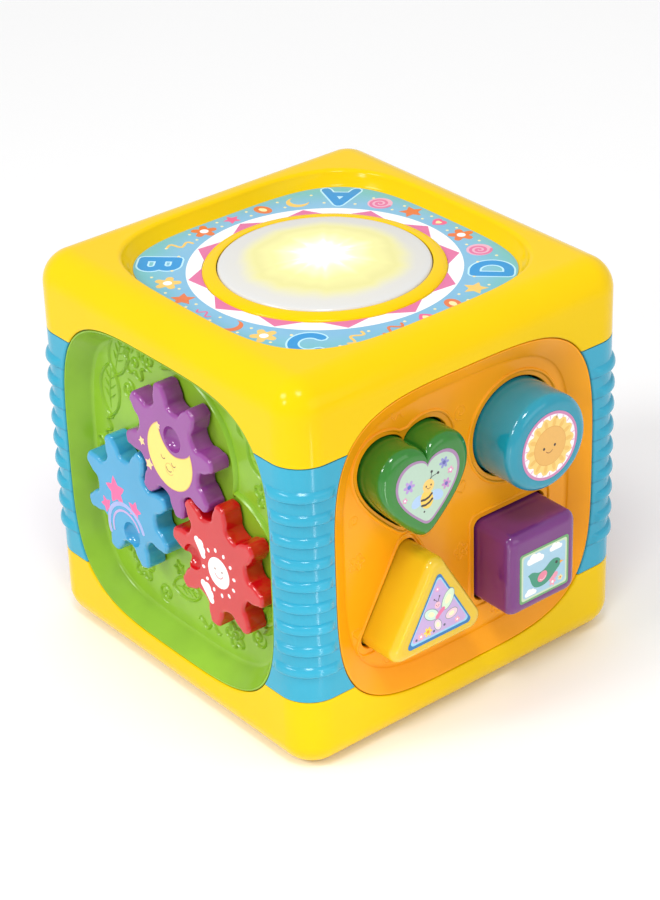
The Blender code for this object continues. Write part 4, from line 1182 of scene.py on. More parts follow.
def print_motif(picture, kind, x, y, turn, size, colour):
    """One small picture between the letters."""
    def fill(outline, ink_colour, level):
        picture.fill(moved(outline, x, y, turn, size), ink_colour, level)

    if kind == "spiral":
        fill(circle(4.6, 32), tuple(int(v * 0.5 + 120) for v in colour), 0)
        fill(ribbon(spiral(2.1, 4.2, 60)[3:], 1.05), colour, 1)
    elif kind == "flower":
        fill(flower(4.8, 5, 0.45), colour, 0)
        fill(circle(1.6, 16), WHITE, 1)
    elif kind == "star":
        fill(star(4.6, 2.3), colour, 0)
    elif kind == "heart":
        fill(heart_outline(7.6, 7.0, 2), colour, 0)
        fill(heart_outline(3.2, 3.0, 2), CREAM, 1)
    elif kind == "squiggle":
        fill(ribbon([(0.32 * k - 4.6, 1.6 * math.sin(k * 0.325)) for k in range(30)], 1.0), colour, 0)
    elif kind == "moon":
        outer = arc(4.2, 60, 300, 24)
        inner = arc(3.6, 285, 75, 20, (1.7, 0.0))
        fill(outer + inner, colour, 0)
    elif kind == "drop":
        fill(oval(5.6, 7.6), colour, 0)
        fill(oval(2.4, 3.6), CREAM, 1)


TOP_MOTIFS = [
    [("spiral", -36, PINK), ("star", -18, ORANGE_INK), ("heart", 0, ROSE), ("flower", 18, ORANGE_INK),
     ("spiral", 36, PINK)],
    [("squiggle", -36, GOLD), ("flower", -18, ORANGE_INK), ("star", 0, ROSE), ("drop", 18, ORANGE_INK),
     ("moon", 36, GOLD)],
    [("flower", -36, GOLD), ("moon", -18, ORANGE_INK), ("squiggle", 0, PINK), ("star", 18, ORANGE_INK),
     ("flower", 36, GOLD)],
    [("star", -36, GOLD), ("drop", -18, ORANGE_INK), ("heart", 0, ROSE), ("squiggle", 18, ORANGE_INK),
     ("squiggle", 36, GOLD)],
]


PRINT_DISC_RADIUS = 65.0
PRINT_HALF = 76.6


def print_span(along):
    """Where the blue of the sheet starts and ends, at this place along a side."""
    inner = math.sqrt(PRINT_DISC_RADIUS ** 2 - along ** 2)
    outer = PRINT_HALF * (1 - (abs(along) / PRINT_HALF) ** PANEL_EXPONENT) ** (1 / PANEL_EXPONENT)
    return inner, outer


def build_drum_print():
    sheet = Shape()
    outline = squircle(PRINT_HALF)
    hole = circle(RING_RADIUS + 0.4, 4 * QUARTER)
    sheet.band(outline, hole, PRINT_TOP_Z - 0.4, PRINT_TOP_Z)
    base = solid("drum_print_sheet", sheet, [SKY_PRINT], even=True)
    settle(base, "housing", "drum_print", "drum_print")
    picture = Picture(PRINT_TOP_Z)
    picture.ring(circle(PRINT_DISC_RADIUS, 144), circle(RING_RADIUS + 0.3, 144), WHITE, 0)
    for k in range(12):
        angle = math.radians(30 * k)
        tip = (64.3 * math.cos(angle), 64.3 * math.sin(angle))
        root = [((RING_RADIUS + 0.1) * math.cos(angle + side), (RING_RADIUS + 0.1) * math.sin(angle + side))
                for side in (0.19, 0.095, 0.0, -0.095, -0.19)]
        picture.fill([tip] + root, PINK, 1)
    for letter, x, y, turn in (("A", -1, 1, -135), ("B", -1, -1, -45), ("C", 1, -1, 45), ("D", 1, 1, 135)):
        reach = 55.2
        print_letter(picture, letter, x * reach, y * reach, turn)
    for side, motifs in enumerate(TOP_MOTIFS):
        turn = 90 * side
        for kind, along, colour in motifs:
            inner, outer = print_span(along)
            (x, y), = moved([(along, (inner + outer) / 2)], turn=turn)
            print_motif(picture, kind, x, y, turn + along * 0.6, 1.35 if abs(along) > 10 else 1.0, colour)
        for along in (-44.5, -27, -9, 9, 27, 44.5):
            inner, outer = print_span(along)
            for share in (0.3, 0.72):
                (x, y), = moved([(along + 2.2 * share, inner + (outer - inner) * share)], turn=turn)
                picture.fill(moved(circle(0.75, 12), x, y), CREAM, 0)
    picture.finish("drum_print_picture", None, "housing", "drum_print")


def draw_moon(picture):
    """A sleeping moon with stars round it, from the purple gear's middle."""
    outer = arc(17.2, 118, 385, 60, (2.0, -1.4))
    crescent = outer + bezier([outer[-1], (16.0, 3.4), (12.0, 1.0), (6.4, 0.2)], 12)
    crescent += bezier([(6.4, 0.2), (0.5, -0.2), (-5.0, 5.0), outer[0]], 16)[:-1]
    picture.fill(crescent, (222, 168, 104), 0)
    picture.fill(offset_outline(crescent, 0.45), MOON, 1)
    for x, y in ((-3.2, -3.0), (4.6, -4.4)):
        picture.line(moved(arc(1.5, 195, 345, 8), x, y, -14), 0.5, BROWN, 2)
    picture.line(moved(arc(2.2, 205, 330, 10), 1.0, -7.6, -14), 0.5, BROWN, 2)
    picture.line(moved(arc(3.0, 20, 340, 24), 1.2, -8.4, -14), 0.35, (226, 178, 92), 2)
    for x, y, size, turn in ((-6.0, 11.6, 2.0, 10), (-19.8, -2.2, 2.5, 25), (-15.0, -12.4, 3.2, -10)):
        picture.fill(moved(star(1.0, 0.55), x, y, turn, size), (250, 214, 150), 1)


def draw_day_sun(picture):
    """A sun with twelve dots round it and two clouds, on the red gear."""
    gear_x, gear_z = gear_centre("red")
    x, y = 39.0 - gear_x, 84.0 - gear_z
    picture.fill(moved(circle(7.9, 48), x, y), WHITE, 0)
    for k in range(12):
        degrees = 30 * k + 8
        (dot_x, dot_y), = moved([(11.6, 0.0)], x, y, degrees)
        picture.fill(moved(oval(2.3, 1.8, 16), dot_x, dot_y, degrees), WHITE, 0)
    for side in (-2.6, 2.6):
        picture.fill(moved(oval(1.0, 1.3, 12), x + side, y + 1.4), BROWN, 1)
    picture.line(moved(arc(3.2, 205, 335, 12), x, y + 0.4), 0.5, (220, 120, 120), 1)
    picture.cloud(25.6 - gear_x, 91.8 - gear_z, -56, 7.6, WHITE, 0)
    picture.cloud(29.6 - gear_x, 69.6 - gear_z, -48, 8.4, WHITE, 0)


def draw_star_hill(picture):
    """Three round-tipped stars over a striped hill, on the blue gear."""
    gear_x, gear_z = gear_centre("blue")
    points = star(1.0, 0.52)
    tips = []
    for (a, b), (c, d) in zip(points, points[1:] + points[:1]):
        tips += [(a * 0.94, b * 0.94), (0.5 * (a + c), 0.5 * (b + d))]
    for x, z, size, turn in ((-41.0, 92.6, 8.6, 10), (-26.0, 88.4, 5.6, -12), (-49.6, 81.6, 5.0, 30)):
        picture.fill(moved(tips, x - gear_x, z - gear_z, turn, size), (240, 104, 160), 0)
    middle = (-33.8 - gear_x, 73.0 - gear_z)
    picture.line(arc(14.5, 200, 20, 30, middle), 2.2, (166, 176, 226), 0)
    picture.line(arc(11.0, 196, 24, 26, middle), 1.2, (196, 168, 216), 1)


def build_gear_pictures(places):
    for colour, draw in (("purple", draw_moon), ("red", draw_day_sun), ("blue", draw_star_hill)):
        picture = Picture(GEAR_THICKNESS)
        draw(picture)
        picture.finish(colour + "_gear_picture", places[colour], colour + "_gear_body", "printed_label")


# ---------------------------------------------------------------- blocks and their side


BLOCK_SHAPES = {
    "heart": heart_outline,
    "circle": round_outline,
    "triangle": triangle_outline,
    "square": square_outline,
}
BLOCK_SLOTS = {"heart": "green", "circle": "teal", "triangle": "yellow", "square": "violet"}
# A sticker's width and height, and how far its middle is above the block's.
LABEL_SIZES = {"heart": (37.6, 34.4, 0.6), "circle": (34.4, 34.4, -0.4), "triangle": (38.0, 33.6, -0.6),
               "square": (31.2, 27.0, -2.2)}


def block_frame(name):
    low, high = low_high(name + "_block")
    return (low.y + high.y) / 2, (low.z + high.z) / 2, high.x, high.y - low.y, high.z - low.z


def rounded_face_rings(shape, width, height, rounding, depth_to, steps=12):
    """Rings from a block's front face round its edge and back along its side."""
    rings = []
    for inset, rise in reversed(fillet(rounding, steps)):
        rings.append(lifted(fit(shape(width, height), width, height, inset), rise - rounding))
    rings.append(lifted(shape(width, height), depth_to))
    return rings


def build_block(name):
    shape = BLOCK_SHAPES[name]
    y, z, front, width, height = block_frame(name)
    place = on_side("sorter", y, z, front)
    back = -45.0
    wall = 2.2
    rounding = 5.0
    rings = rounded_face_rings(shape, width, height, rounding, back + 0.6)
    for inset, out in ((0.6, back), (wall, back), (wall, -rounding - 0.5), (wall + 3.0, -3.0)):
        rings.append(lifted(fit(shape(width, height), width, height, inset), out))
    body = name + "_block_body"
    block = solid(body, Shape().loft(rings), [BLOCK_GLOSS[name]], place, sharp=50.0, even=True)
    settle(block, body, "block_" + BLOCK_SLOTS[name], name + "_block")
    return place


def label_base(name, picture, border, fill, border_width):
    """The sticker itself: the ground colour inside a border."""
    width, height, _ = LABEL_SIZES[name]
    if name == "triangle":
        outline = triangle_outline(width, height, 1.8, 6)
    elif name == "square":
        outline = square_outline(width, height, 1.6, 6)
    else:
        outline = BLOCK_SHAPES[name](width, height)
    picture.fill(outline, border, 2)
    picture.fill(fit(outline, width, height, border_width), fill, 3)


def build_labels(places):
    pictures = {"heart": draw_bee, "circle": draw_sun, "triangle": draw_butterfly, "square": draw_bird}
    for name, draw in pictures.items():
        picture = Picture(0.05, LABEL_SIZES[name][2], step=0.016)
        draw(picture)
        label = picture.finish(name + "_block_sticker", places[name], name + "_block_body", "printed_label")
        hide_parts(name + "_block_label")


def draw_bee(picture):
    label_base("heart", picture, (168, 130, 170), (184, 210, 190), 1.4)
    for x, y, width, turn in ((-6.3, -3.8, 7.6, 30), (5.4, -4.4, 7.6, -30)):
        picture.fill(moved(oval(width, 5.4), x, y, turn), (176, 204, 236), 4)
    picture.fill(moved(oval(7.4, 9.6), -0.8, -4.6, 14), (246, 206, 92), 5)
    for offset in (-5.6, -2.8):
        stripe = [(-3.1, 0.5), (-1.2, -0.3), (1.2, -0.3), (3.1, 0.5)]
        picture.line(moved(stripe, -0.9 - offset * 0.06, offset - 1.0, 14), 1.15, BLACK, 6)
    picture.fill(moved(circle(3.3, 32), 0.3, 2.0), (248, 204, 112), 6)
    picture.face(0.3, 1.7, 3.4, BLACK, 7)
    for x, y in ((2.2, 8.6), (6.0, 6.6)):
        picture.line([(1.0, 4.8), (1.4 + 0.2 * x, 6.0), (x, y)], 0.28, BLACK, 6)
        picture.fill(moved(circle(0.7, 12), x, y), BLACK, 7)
    picture.fill(moved(circle(0.5, 10), -2.4, -10.4), BLACK, 6)
    picture.bloom(-11.0, 5.6, 3.3, (184, 152, 212), (80, 116, 196), 6, 4)
    picture.bloom(9.6, 10.4, 2.9, (142, 144, 204), (92, 96, 170), 6, 4)
    picture.bloom(13.4, 5.2, 1.9, (226, 150, 190), WHITE, 5, 4)
    picture.bloom(10.8, -0.8, 2.8, (196, 140, 196), (112, 100, 176), 6, 4)
    picture.bloom(-13.6, -0.4, 1.6, (226, 150, 190), WHITE, 5, 4)


def draw_sun(picture):
    label_base("circle", picture, (206, 132, 176), (246, 236, 240), 1.4)
    picture.fill(flower(15.8, 22, 0.08), WHITE, 4)
    for k in range(22):
        angle = 2 * math.pi * (k + 0.5) / 22
        path = [(r * math.cos(angle), r * math.sin(angle)) for r in (13.9, 14.7, 15.4)]
        picture.line(path, 0.5, (232, 170, 200), 5)
    picture.fill(flower(14.9, 14, 0.12), (244, 208, 120), 5)
    for k in range(14):
        angle = 2 * math.pi * k / 14
        petal = moved(oval(4.6, 2.2, 20), 11.6 * math.cos(angle), 11.6 * math.sin(angle), math.degrees(angle))
        picture.fill(petal, (238, 190, 96), 6)
    picture.fill(circle(9.9, 48), (222, 160, 76), 7)
    picture.fill(circle(9.6, 48), (234, 180, 94), 8)
    for side in (-1, 1):
        picture.fill(moved(oval(1.4, 1.5, 14), 3.4 * side - 0.4, -0.4), BLACK, 9)
    picture.line(arc(2.2, 215, 325, 12, (-0.4, -1.2)), 0.4, (150, 84, 48), 9)


def draw_butterfly(picture):
    label_base("triangle", picture, (34, 118, 180), (150, 206, 232), 1.7)
    width, height, _ = LABEL_SIZES["triangle"]
    picture.fill(fit(triangle_outline(width, height, 1.8, 6), width, height, 2.7), (196, 168, 214), 4)
    wings = (
        (4.4, 1.2, 9.6, 5.6, 62, (214, 234, 204)),
        (-4.0, -2.4, 8.0, 5.0, 150, (206, 230, 214)),
        (6.2, -6.0, 6.4, 4.4, 10, (246, 206, 214)),
        (-0.8, -8.2, 5.6, 3.8, -70, (240, 214, 224)),
    )
    for x, y, long, wide, turn, colour in wings:
        for size, edge, tint, level in ((1.2, 0.0, (120, 150, 150), 5), (1.2, 0.7, colour, 6),
                                        (0.5, 0.0, (250, 244, 190), 7)):
            wing = oval(long * size - edge, wide * size - edge)
            picture.fill(moved(wing, x * 1.2, y * 1.2, turn), tint, level)
    picture.line([(-1.4, -5.6), (0.6, -3.8), (2.4, -2.6)], 2.2, (230, 120, 160), 7)
    picture.fill(moved(circle(1.7, 20), -1.0, 0.8), (242, 190, 204), 8)
    picture.face(-1.0, 0.7, 1.7, BLACK, 9)
    for x, y in ((-3.0, 4.4), (0.2, 5.2)):
        picture.line([(-1.0, 2.2), ((x - 1.0) / 2, 3.6), (x, y)], 0.25, BLACK, 8)
        picture.fill(moved(circle(0.42, 10), x, y), BLACK, 9)
    picture.bloom(-7.0, -11.2, 2.6, (250, 214, 84), (240, 150, 60), 6, 5)
    picture.bloom(-11.2, -12.0, 1.9, (244, 170, 176), WHITE, 5, 5)
    picture.bloom(10.8, -12.0, 1.6, (244, 170, 176), WHITE, 5, 5)
    for x, y in ((-3.4, -12.4), (-14.0, -12.8), (3.0, -11.6)):
        picture.fill(moved(circle(0.7, 10), x, y), (90, 96, 120), 5)
    picture.bloom(-1.0, 9.2, 1.5, (232, 160, 196), WHITE, 5, 5)


def draw_bird(picture):
    label_base("square", picture, (112, 168, 110), (206, 222, 190), 1.1)
    width, height, _ = LABEL_SIZES["square"]
    edge = []
    for k in range(96):
        x, y = square_outline(width - 4.4, height - 4.4, 1.4, 23)[k]
        swing = 0.22 * math.cos(k * math.pi / 2)
        length = math.hypot(x, y)
        edge.append((x * (1 + swing / length), y * (1 + swing / length)))
    picture.fill(edge, (168, 206, 226), 4)
    picture.cloud(-5.6, 8.0, 0, 7.2, WHITE, 5)
    picture.cloud(7.4, 9.4, 0, 5.4, WHITE, 5)
    picture.cloud(-8.6, -9.4, 0, 5.0, WHITE, 5)
    body = [(-9.4, -2.2)] + bezier([(-9.4, -2.2), (-7.0, -3.4), (-6.8, -9.6), (-0.6, -8.6)], 12)
    body += bezier([(-0.6, -8.6), (5.0, -7.8), (6.2, -3.4), (9.0, -0.6)], 10)
    body += bezier([(9.0, -0.6), (10.6, 2.0), (8.6, 4.4), (5.6, 4.0)], 10)
    body += bezier([(5.6, 4.0), (2.2, 3.8), (1.6, -0.6), (-2.4, -1.4)], 10)
    body += bezier([(-2.4, -1.4), (-5.0, -1.8), (-6.6, 0.6), (-9.4, -2.2)], 8)[:-1]
    picture.fill(moved(body, 0.0, 0.6, -12, 1.08), (64, 150, 122), 6)
    picture.fill(moved(oval(6.4, 5.0), -1.2, -3.2, 30), (232, 136, 160), 7)
    picture.line(moved(arc(2.2, 200, 320, 10), -1.2, -2.8, 20), 0.4, (250, 208, 214), 8)
    picture.fill([(10.0, -0.6), (12.6, 0.0), (10.1, 1.0)], (246, 176, 70), 7)
    picture.fill(moved(circle(0.8, 12), 7.8, 1.0), BLACK, 8)
    picture.fill(moved(oval(6.0, 3.6), 6.0, -6.2, 24), (236, 158, 178), 5)
    picture.bloom(5.4, -9.0, 2.2, (240, 160, 178), WHITE, 5, 6)
    picture.bloom(10.4, -8.6, 1.6, (250, 226, 150), ORANGE_INK, 5, 6)


def build_sorter_panel():
    place = middle_of_side("sorter")
    panel = solid("sorter_panel_dish", dish_shape(SHAPE_FLOOR, SHAPE_FLOOR_HALF), [ORANGE], place, even=True)
    cutters = []
    raised = Shape()
    rims = []
    for name, shape in BLOCK_SHAPES.items():
        y, z, _, width, height = block_frame(name)
        spot = (y, z - PANEL_CENTRE_Z)
        rings = []
        for grow, out in ((2.2, SHAPE_FLOOR + 4.0), (1.35, SHAPE_FLOOR + 0.3), (1.15, SHAPE_FLOOR - 0.02),
                          (0.9, SHAPE_FLOOR - 0.3), (0.8, SHAPE_FLOOR - 0.7), (0.8, 80.0)):
            rings.append(lifted(moved(shape(width + 2 * grow, height + 2 * grow), *spot), out))
        cutters.append(solid("hole", Shape().loft(rings), [], place))
        grow = 3.9
        hole = shape(width + 2.3, height + 2.3)
        rim = [point for point in shape(width + 2 * grow, height + 2 * grow)
               if min(math.dist(point, other) for other in hole) > 1.7]
        rims += moved(rim, *spot)
        raised.ridge(moved(rim, *spot), 2.2, 0.9, SHAPE_FLOOR, True)
    cut(panel, *cutters)
    settle(panel, "housing", "orange", "sorter_panel")
    for kind, x, y, size, turn in ORANGE_DOODLES:
        if min(math.dist((x, y), point) for point in rims) > size + 1.6:
            doodle(raised, kind, x, y, size, turn, 1.1, 0.3, SHAPE_FLOOR)
    relief = solid("sorter_panel_relief", raised, [ORANGE], place, sharp=80.0)
    settle(relief, "housing", "orange")


# ---------------------------------------------------------------- back, left and bottom


PLAIN_FLOOR = 92.0
PLAIN_FLOOR_HALF = 69.0
HINGE_RADIUS = 3.2
HINGE_BORE = 1.5
LUG_FOOT = 4.8
DOOR_FACE_UP = 0.5
DOOR_OVERLAP = 3.5
HINGE_GAP = 4.6
LEAF_CORNER = 10.0
LEAF_THICKNESS = 2.7


def opened(outline_at, spot, floor):
    """A cutter for a round-edged hole in a side's floor. outline_at gives the hole grown by a size."""
    rings = []
    for grow, up in ((1.6, 3.0), (0.62, 0.25), (0.36, -0.02), (0.14, -0.2), (0.0, -0.5), (0.0, -12.0)):
        rings.append(lifted(moved(outline_at(grow), *spot), floor + up))
    return Shape().loft(rings)


def soft_slab(shape, outline, width, height, low, high, roll=0.8, steps=5):
    """A slab in the plane of a side whose front edge is rounded."""
    rings = [lifted(fit(outline, width, height, 0.3), low), lifted(outline, low + 0.3)]
    for inset, rise in fillet(roll, steps):
        rings.append(lifted(fit(outline, width, height, inset), high - roll + rise))
    shape.loft(rings)


def build_back_side():
    """The panel with the door that the blocks come out of. This side isn't in view and is a guess."""
    door_low, door_high = low_high("block_door")
    half_height = (door_high.z - door_low.z) / 2
    middle_z = (door_high.z + door_low.z) / 2
    pin = middle_of("door_pin")
    hinge_x, hinge_out = -pin.x, pin.y
    half_width = -hinge_x - HINGE_GAP
    place = middle_of_side("back")
    panel = solid("door_panel_dish", dish_shape(PLAIN_FLOOR, PLAIN_FLOOR_HALF), [DOOR_RED], place, even=True)
    spot = (0.0, middle_z - PANEL_CENTRE_Z)

    def opening(grow):
        reach = grow - DOOR_OVERLAP
        return square_outline(2 * (half_width + reach), 2 * (half_height + reach), 8.0 + grow)

    cut(panel, solid("door_opening", opened(opening, spot, PLAIN_FLOOR), [], place))
    settle(panel, "housing", "door_red", "door_panel")
    lugs = Shape()
    for offset in (-30.0, 30.0):
        outer, inner = [], []
        for k in range(48):
            angle = 2 * math.pi * k / 48
            across, up = math.cos(angle), math.sin(angle)
            reach = HINGE_RADIUS
            if up < 0:
                reach = min(HINGE_RADIUS / max(abs(across), 0.001), LUG_FOOT / max(-up, 0.001))
            outer.append((reach * across, reach * up))
            inner.append((HINGE_BORE * across, HINGE_BORE * up))
        rings = []
        for outline, size, y in ((outer, 0.9, -5.0), (outer, 1.0, -4.6), (outer, 1.0, 4.6), (outer, 0.9, 5.0),
                                 (inner, 1.0, 5.0), (inner, 1.0, -5.0)):
            height = spot[1] + offset + y
            rings.append([(hinge_x + x * size, height, hinge_out + z * size) for x, z in outline])
        lugs.loft(rings, looped=True)
    settle(solid("door_panel_lugs", lugs, [DOOR_RED], place), "housing", "door_red")

    low = PLAIN_FLOOR + DOOR_FACE_UP - hinge_out
    far = -hinge_x
    door = Shape()
    leaf = square_outline(2 * half_width, 2 * half_height, LEAF_CORNER)
    soft = Shape()
    face = low + LEAF_THICKNESS
    soft_slab(soft, leaf, 2 * half_width, 2 * half_height, low, face, 0.9)
    soft.ridge(square_outline(2 * half_width - 10.0, 2 * half_height - 10.0, 8.0), 2.2, 0.28, face, True)
    door.add([(x + far, y, z) for x, y, z in soft.points], soft.faces)
    profile = [(HINGE_BORE, -24.5), (HINGE_RADIUS - 0.4, -24.5), (HINGE_RADIUS, -24.1), (HINGE_RADIUS, 24.1),
               (HINGE_RADIUS - 0.4, 24.5), (HINGE_BORE, 24.5)]
    knuckle = Shape().turned(profile, 40, looped=True)
    door.add([(x, -z, y) for x, y, z in knuckle.points], knuckle.faces)
    arm = Shape()
    soft_slab(arm, square_outline(6.0, 47.6, 0.6), 6.0, 47.6, low + 0.5, low + 2.4, 0.4, 3)
    door.add([(x + 5.4, y, z) for x, y, z in arm.points], arm.faces)
    grip = Shape()
    soft_slab(grip, square_outline(4.0, 28.0, 1.9), 4.0, 28.0, low + 1.0, low + 6.4, 1.4)
    door.add([(x + far + half_width - 10.0, y, z) for x, y, z in grip.points], grip.faces)
    leaf_place = on_side("back", hinge_x, middle_z, hinge_out)
    settle(solid("block_door_leaf", door, [SKY_BLUE], leaf_place), "door", "sky_blue", "block_door")


def build_left_side():
    """The sound panel with its slots and the on-off switch. This side isn't in view and is a guess."""
    place = middle_of_side("left")
    dish = dish_shape(PLAIN_FLOOR, PLAIN_FLOOR_HALF)
    panel = solid("sound_panel_dish", dish, [SOUND_PURPLE], place, even=True)
    cutters = []
    for k in range(-3, 4):
        reach = 23.0 * math.sqrt(1 - (k / 3.6) ** 2)

        def slot(grow, reach=reach):
            return square_outline(2 * (reach + grow), 2 * (1.5 + grow), 1.45 + grow)

        cutters.append(solid("slot", opened(slot, (0.0, 7.0 * k), PLAIN_FLOOR), [], place))

    def window(grow):
        return square_outline(2 * (9.0 + grow), 2 * (4.5 + grow), 2.0 + grow)

    cutters.append(solid("window", opened(window, (0.0, -50.0), PLAIN_FLOOR), [], place))
    cut(panel, *cutters)
    settle(panel, "housing", "sound_purple", "sound_panel")
    knob = Shape()
    soft_slab(knob, square_outline(6.8, 6.8, 1.0), 6.8, 6.8, -3.0, 3.5, 0.7)
    for x in (-1.5, 0.0, 1.5):
        knob.ridge([(x, -2.0), (x, 2.0)], 0.8, 0.25, 3.5)
    soft_slab(knob, square_outline(12.0, 12.0, 1.0), 12.0, 12.0, -5.4, -2.9, 0.3, 3)
    place = on_side("left", -5.0, PANEL_CENTRE_Z - 50.0, PLAIN_FLOOR)
    switch = solid("power_switch_knob", knob, [CHARCOAL], place)
    settle(switch, "power_slider", "black_plastic", "power_switch")


def build_battery_door():
    low, high = low_high("battery_door")
    middle = (low + high) / 2
    width, height = high.x - low.x, high.y - low.y
    rings = []
    outline = square_outline(width, height, 1.2)
    for inset, z in ((0.6, 0.3), (0.25, 0.42), (0.05, 0.65), (0.0, 0.9), (0.0, 2.7)):
        rings.append(lifted(fit(outline, width, height, inset), z))
    place = Matrix.Translation(Vector((middle.x, middle.y, 0.0)))
    door = solid("battery_door_plate", Shape().loft(rings), [YELLOW], place, even=True)
    screw_seat = [(0.0, -1.0), (5.2, -1.0), (4.0, 0.35), (3.6, 0.7), (3.6, 1.7), (1.8, 1.7)]
    seat = Shape().turned(screw_seat + [(1.8, 5.0), (0.0, 5.0)], 40)
    cut(door, solid("seat", seat, [], Matrix.Translation(Vector((middle.x, middle.y + 29.0, 0.0)))))
    settle(door, "housing", "yellow", "battery_door")


# ---------------------------------------------------------------- drum


def build_drum():
    inner = LENS_RADIUS + 0.4
    base_z = WELL_FLOOR_Z + 0.3
    width = RING_RADIUS - inner - 0.1
    height = RING_TOP_Z - base_z
    profile = [(RING_RADIUS - width * inset, base_z + height * rise) for inset, rise in fillet(1.0, 16, 86.0)]
    profile += [(inner, RING_TOP_Z - 0.3), (inner, base_z)]
    ring = solid("drum_ring_body", Shape().turned(profile, 160, looped=True), [YELLOW])
    settle(ring, "housing", "yellow", "drum_ring")
    lens = [(0.0, LENS_TOP_Z)]
    for k in range(1, 21):
        radius = (LENS_RADIUS - 1.8) * k / 20
        lens.append((radius, LENS_TOP_Z - (LENS_TOP_Z - LENS_EDGE_Z - 0.1) * (k / 20) ** 2.2))
    for k in range(1, 7):
        angle = math.radians(15 + 75 * k / 6)
        lens.append((LENS_RADIUS - 1.8 + 1.8 * math.sin(angle), LENS_EDGE_Z - 1.7 + 1.8 * math.cos(angle)))
    flange, flange_top, flange_base = 54.6, 184.9, 182.4
    bore = 47.4
    lens += [(LENS_RADIUS, flange_top), (flange, flange_top), (flange, flange_base), (bore, flange_base)]
    lens += [(bore, 193.0), (30.0, 195.6), (4.2, 196.8), (3.2, flange_top), (0.0, flange_top)]
    cap = solid("drum_lens_body", Shape().turned(lens, 160), [LENS])
    settle(cap, "drum", "milky_lens", "drum_lens")


# ---------------------------------------------------------------- camera, lights and floor


CAMERA_AZIMUTH = 51.39
CAMERA_ELEVATION = 29.82
CAMERA_ROLL = -1.96
CAMERA_DISTANCE = 1273.2
CAMERA_HEIGHT = 93.9
CAMERA_SHIFT = -0.5
CAMERA_LENS = 104.82
WORLD_STRENGTH = 0.73
SUN_AZIMUTH = -16
SUN_ELEVATION = 42
SUN_STRENGTH = 0.8
SUN_SPREAD = 15
# A soft box's azimuth, elevation, distance, width, height and power, in degrees, metres and watts.
SOFT_BOXES = {
    "fill": (100, 24, 1.6, 1.2, 0.8, 2.8),
    "key": (48, 62, 1.3, 0.26, 0.26, 4.0),
    "spark_left": (6, 30, 1.3, 0.2, 0.2, 2.2),
}


def outwards(azimuth, elevation):
    """A way out of the cube. Azimuth 0 is out of the gear side and 90 out of the sorter side."""
    a, e = math.radians(azimuth), math.radians(elevation)
    return Vector((math.sin(a) * math.cos(e), -math.cos(a) * math.cos(e), math.sin(e)))


def build_camera():
    roll = math.radians(CAMERA_ROLL)
    back = outwards(CAMERA_AZIMUTH, CAMERA_ELEVATION)
    right = (-back).cross(Vector((0.0, 0.0, 1.0))).normalized()
    up = right.cross(-back)
    spot = back * CAMERA_DISTANCE + Vector((0.0, 0.0, CAMERA_HEIGHT)) + right * CAMERA_SHIFT
    across = right * math.cos(roll) + up * math.sin(roll)
    upwards = up * math.cos(roll) - right * math.sin(roll)
    data = bpy.data.cameras.new("camera")
    data.lens = CAMERA_LENS
    data.sensor_width = 36.0
    data.clip_start = 0.05
    data.clip_end = 20.0
    camera = bpy.data.objects.new("camera", data)
    bpy.context.scene.collection.objects.link(camera)
    turn = Matrix((across, upwards, back)).transposed().to_4x4()
    camera.matrix_world = Matrix.Translation(spot * MM) @ turn
    bpy.context.scene.camera = camera


def add_lamp(name, kind, power, out, spot=(0.0, 0.0, 0.0)):
    """A lamp at this spot, in metres, that shines against the way out."""
    data = bpy.data.lights.new(name, kind)
    data.energy = power
    lamp = bpy.data.objects.new(name, data)
    bpy.context.scene.collection.objects.link(lamp)
    lamp.location = spot
    lamp.rotation_mode = "QUATERNION"
    lamp.rotation_quaternion = (-out).to_track_quat("-Z", "Y")
    return data


def add_box_lamp(name, power, out, spot, width, height):
    lamp = add_lamp(name, "AREA", power, out, spot)
    lamp.shape = "RECTANGLE"
    lamp.size = width
    lamp.size_y = height


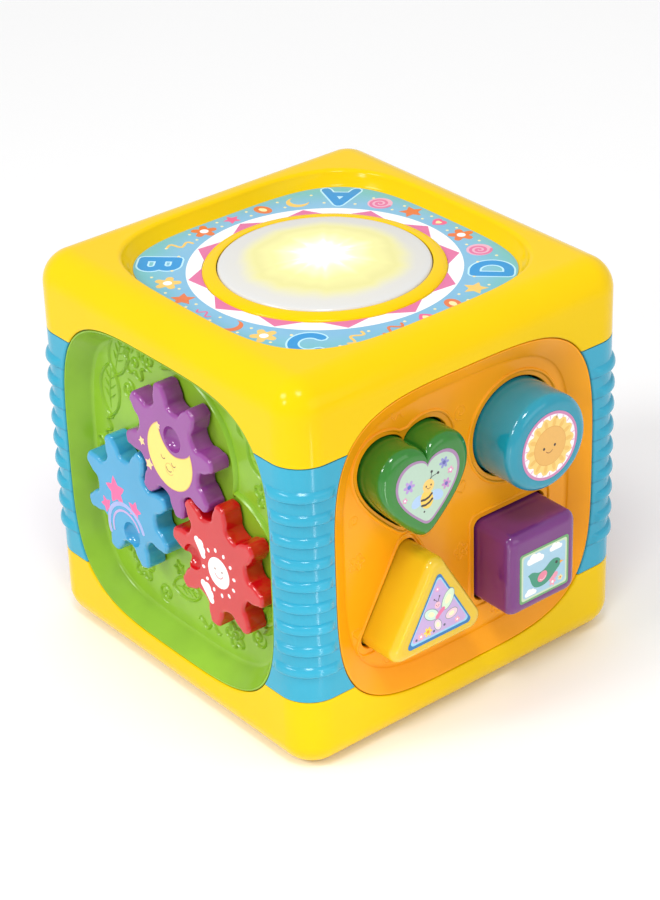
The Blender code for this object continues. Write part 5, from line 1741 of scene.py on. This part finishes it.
def build_lights():
    """A white world, even light from one side, soft boxes and a slim lamp beside the front corner."""
    world = bpy.data.worlds.new("studio")
    bpy.context.scene.world = world
    world.use_nodes = True
    background = world.node_tree.nodes["Background"]
    background.inputs["Color"].default_value = (1.0, 1.0, 1.0, 1.0)
    background.inputs["Strength"].default_value = WORLD_STRENGTH
    sun = add_lamp("sun", "SUN", SUN_STRENGTH, outwards(SUN_AZIMUTH, SUN_ELEVATION))
    sun.angle = math.radians(SUN_SPREAD)
    for name, (azimuth, elevation, distance, width, height, power) in SOFT_BOXES.items():
        out = outwards(azimuth, elevation)
        add_box_lamp(name, power, out, out * distance + Vector((0.0, 0.0, 0.1)), width, height)
    corner = Vector((CUBE_HALF - CORNER_RADIUS, CORNER_RADIUS - CUBE_HALF, 0.0)) * MM
    away = outwards(80, 0)
    add_box_lamp("corner_strip", 0.022, away, corner + away * 0.1 + Vector((0.0, 0.0, 0.066)), 0.004, 0.13)


def build_stage():
    floor = Shape().slab(circle(6000.0, 96), -20.0, 0.0)
    made = Nodes("pale_floor", 0.6)
    made.set("Base Color", made.mix(made.noise(3.0, 2.0), (0.965, 0.965, 0.965), (0.985, 0.985, 0.985)))
    made.set("Normal", made.bump(made.noise(60.0, 2.0), 0.00005))
    thing = solid("stage_floor", floor, [made.material])
    bpy.context.scene.view_settings.view_transform = "Standard"


def finish_hidden_nodes():
    """The pieces inside and underneath keep their CAD shapes and get real finishes."""
    finishes = {
        "block_bin": PALE_GREY, "drum_tray": PALE_GREY, "speaker": CHARCOAL, "sound_chip": CHARCOAL,
        "battery_box": CHARCOAL, "drum_switch": CHARCOAL, "main_board": BOARD, "light_board": BOARD,
        "battery_screw": STEEL, "door_pin": STEEL, "contact_plate_left": STEEL, "contact_plate_right": STEEL,
    }
    for k in (1, 2, 3):
        finishes["lamp_%d" % k] = LAMP
        finishes["drum_spring_%d" % k] = STEEL
        finishes["cell_%d" % k] = CELL
    for colour in GEAR_COLOURS:
        finishes[colour + "_gear_screw"] = STEEL
        finishes[colour + "_gear_washer"] = STEEL
    for name in BLOCK_SHAPES:
        finishes[name + "_block_base"] = BLOCK_GLOSS[name]
    for name, finish in finishes.items():
        for material_slot in frame["nodes"][name].material_slots:
            material_slot.material = finish


def main():
    build_camera()
    build_stage()
    build_lights()
    build_top_cap()
    build_bottom_cap()
    build_posts()
    build_gear_panel()
    build_gear_pictures({colour: build_gear(colour) for colour in GEAR_COLOURS})
    build_sorter_panel()
    build_labels({name: build_block(name) for name in BLOCK_SHAPES})
    build_back_side()
    build_left_side()
    build_battery_door()
    build_drum()
    build_drum_print()
    finish_hidden_nodes()


main()
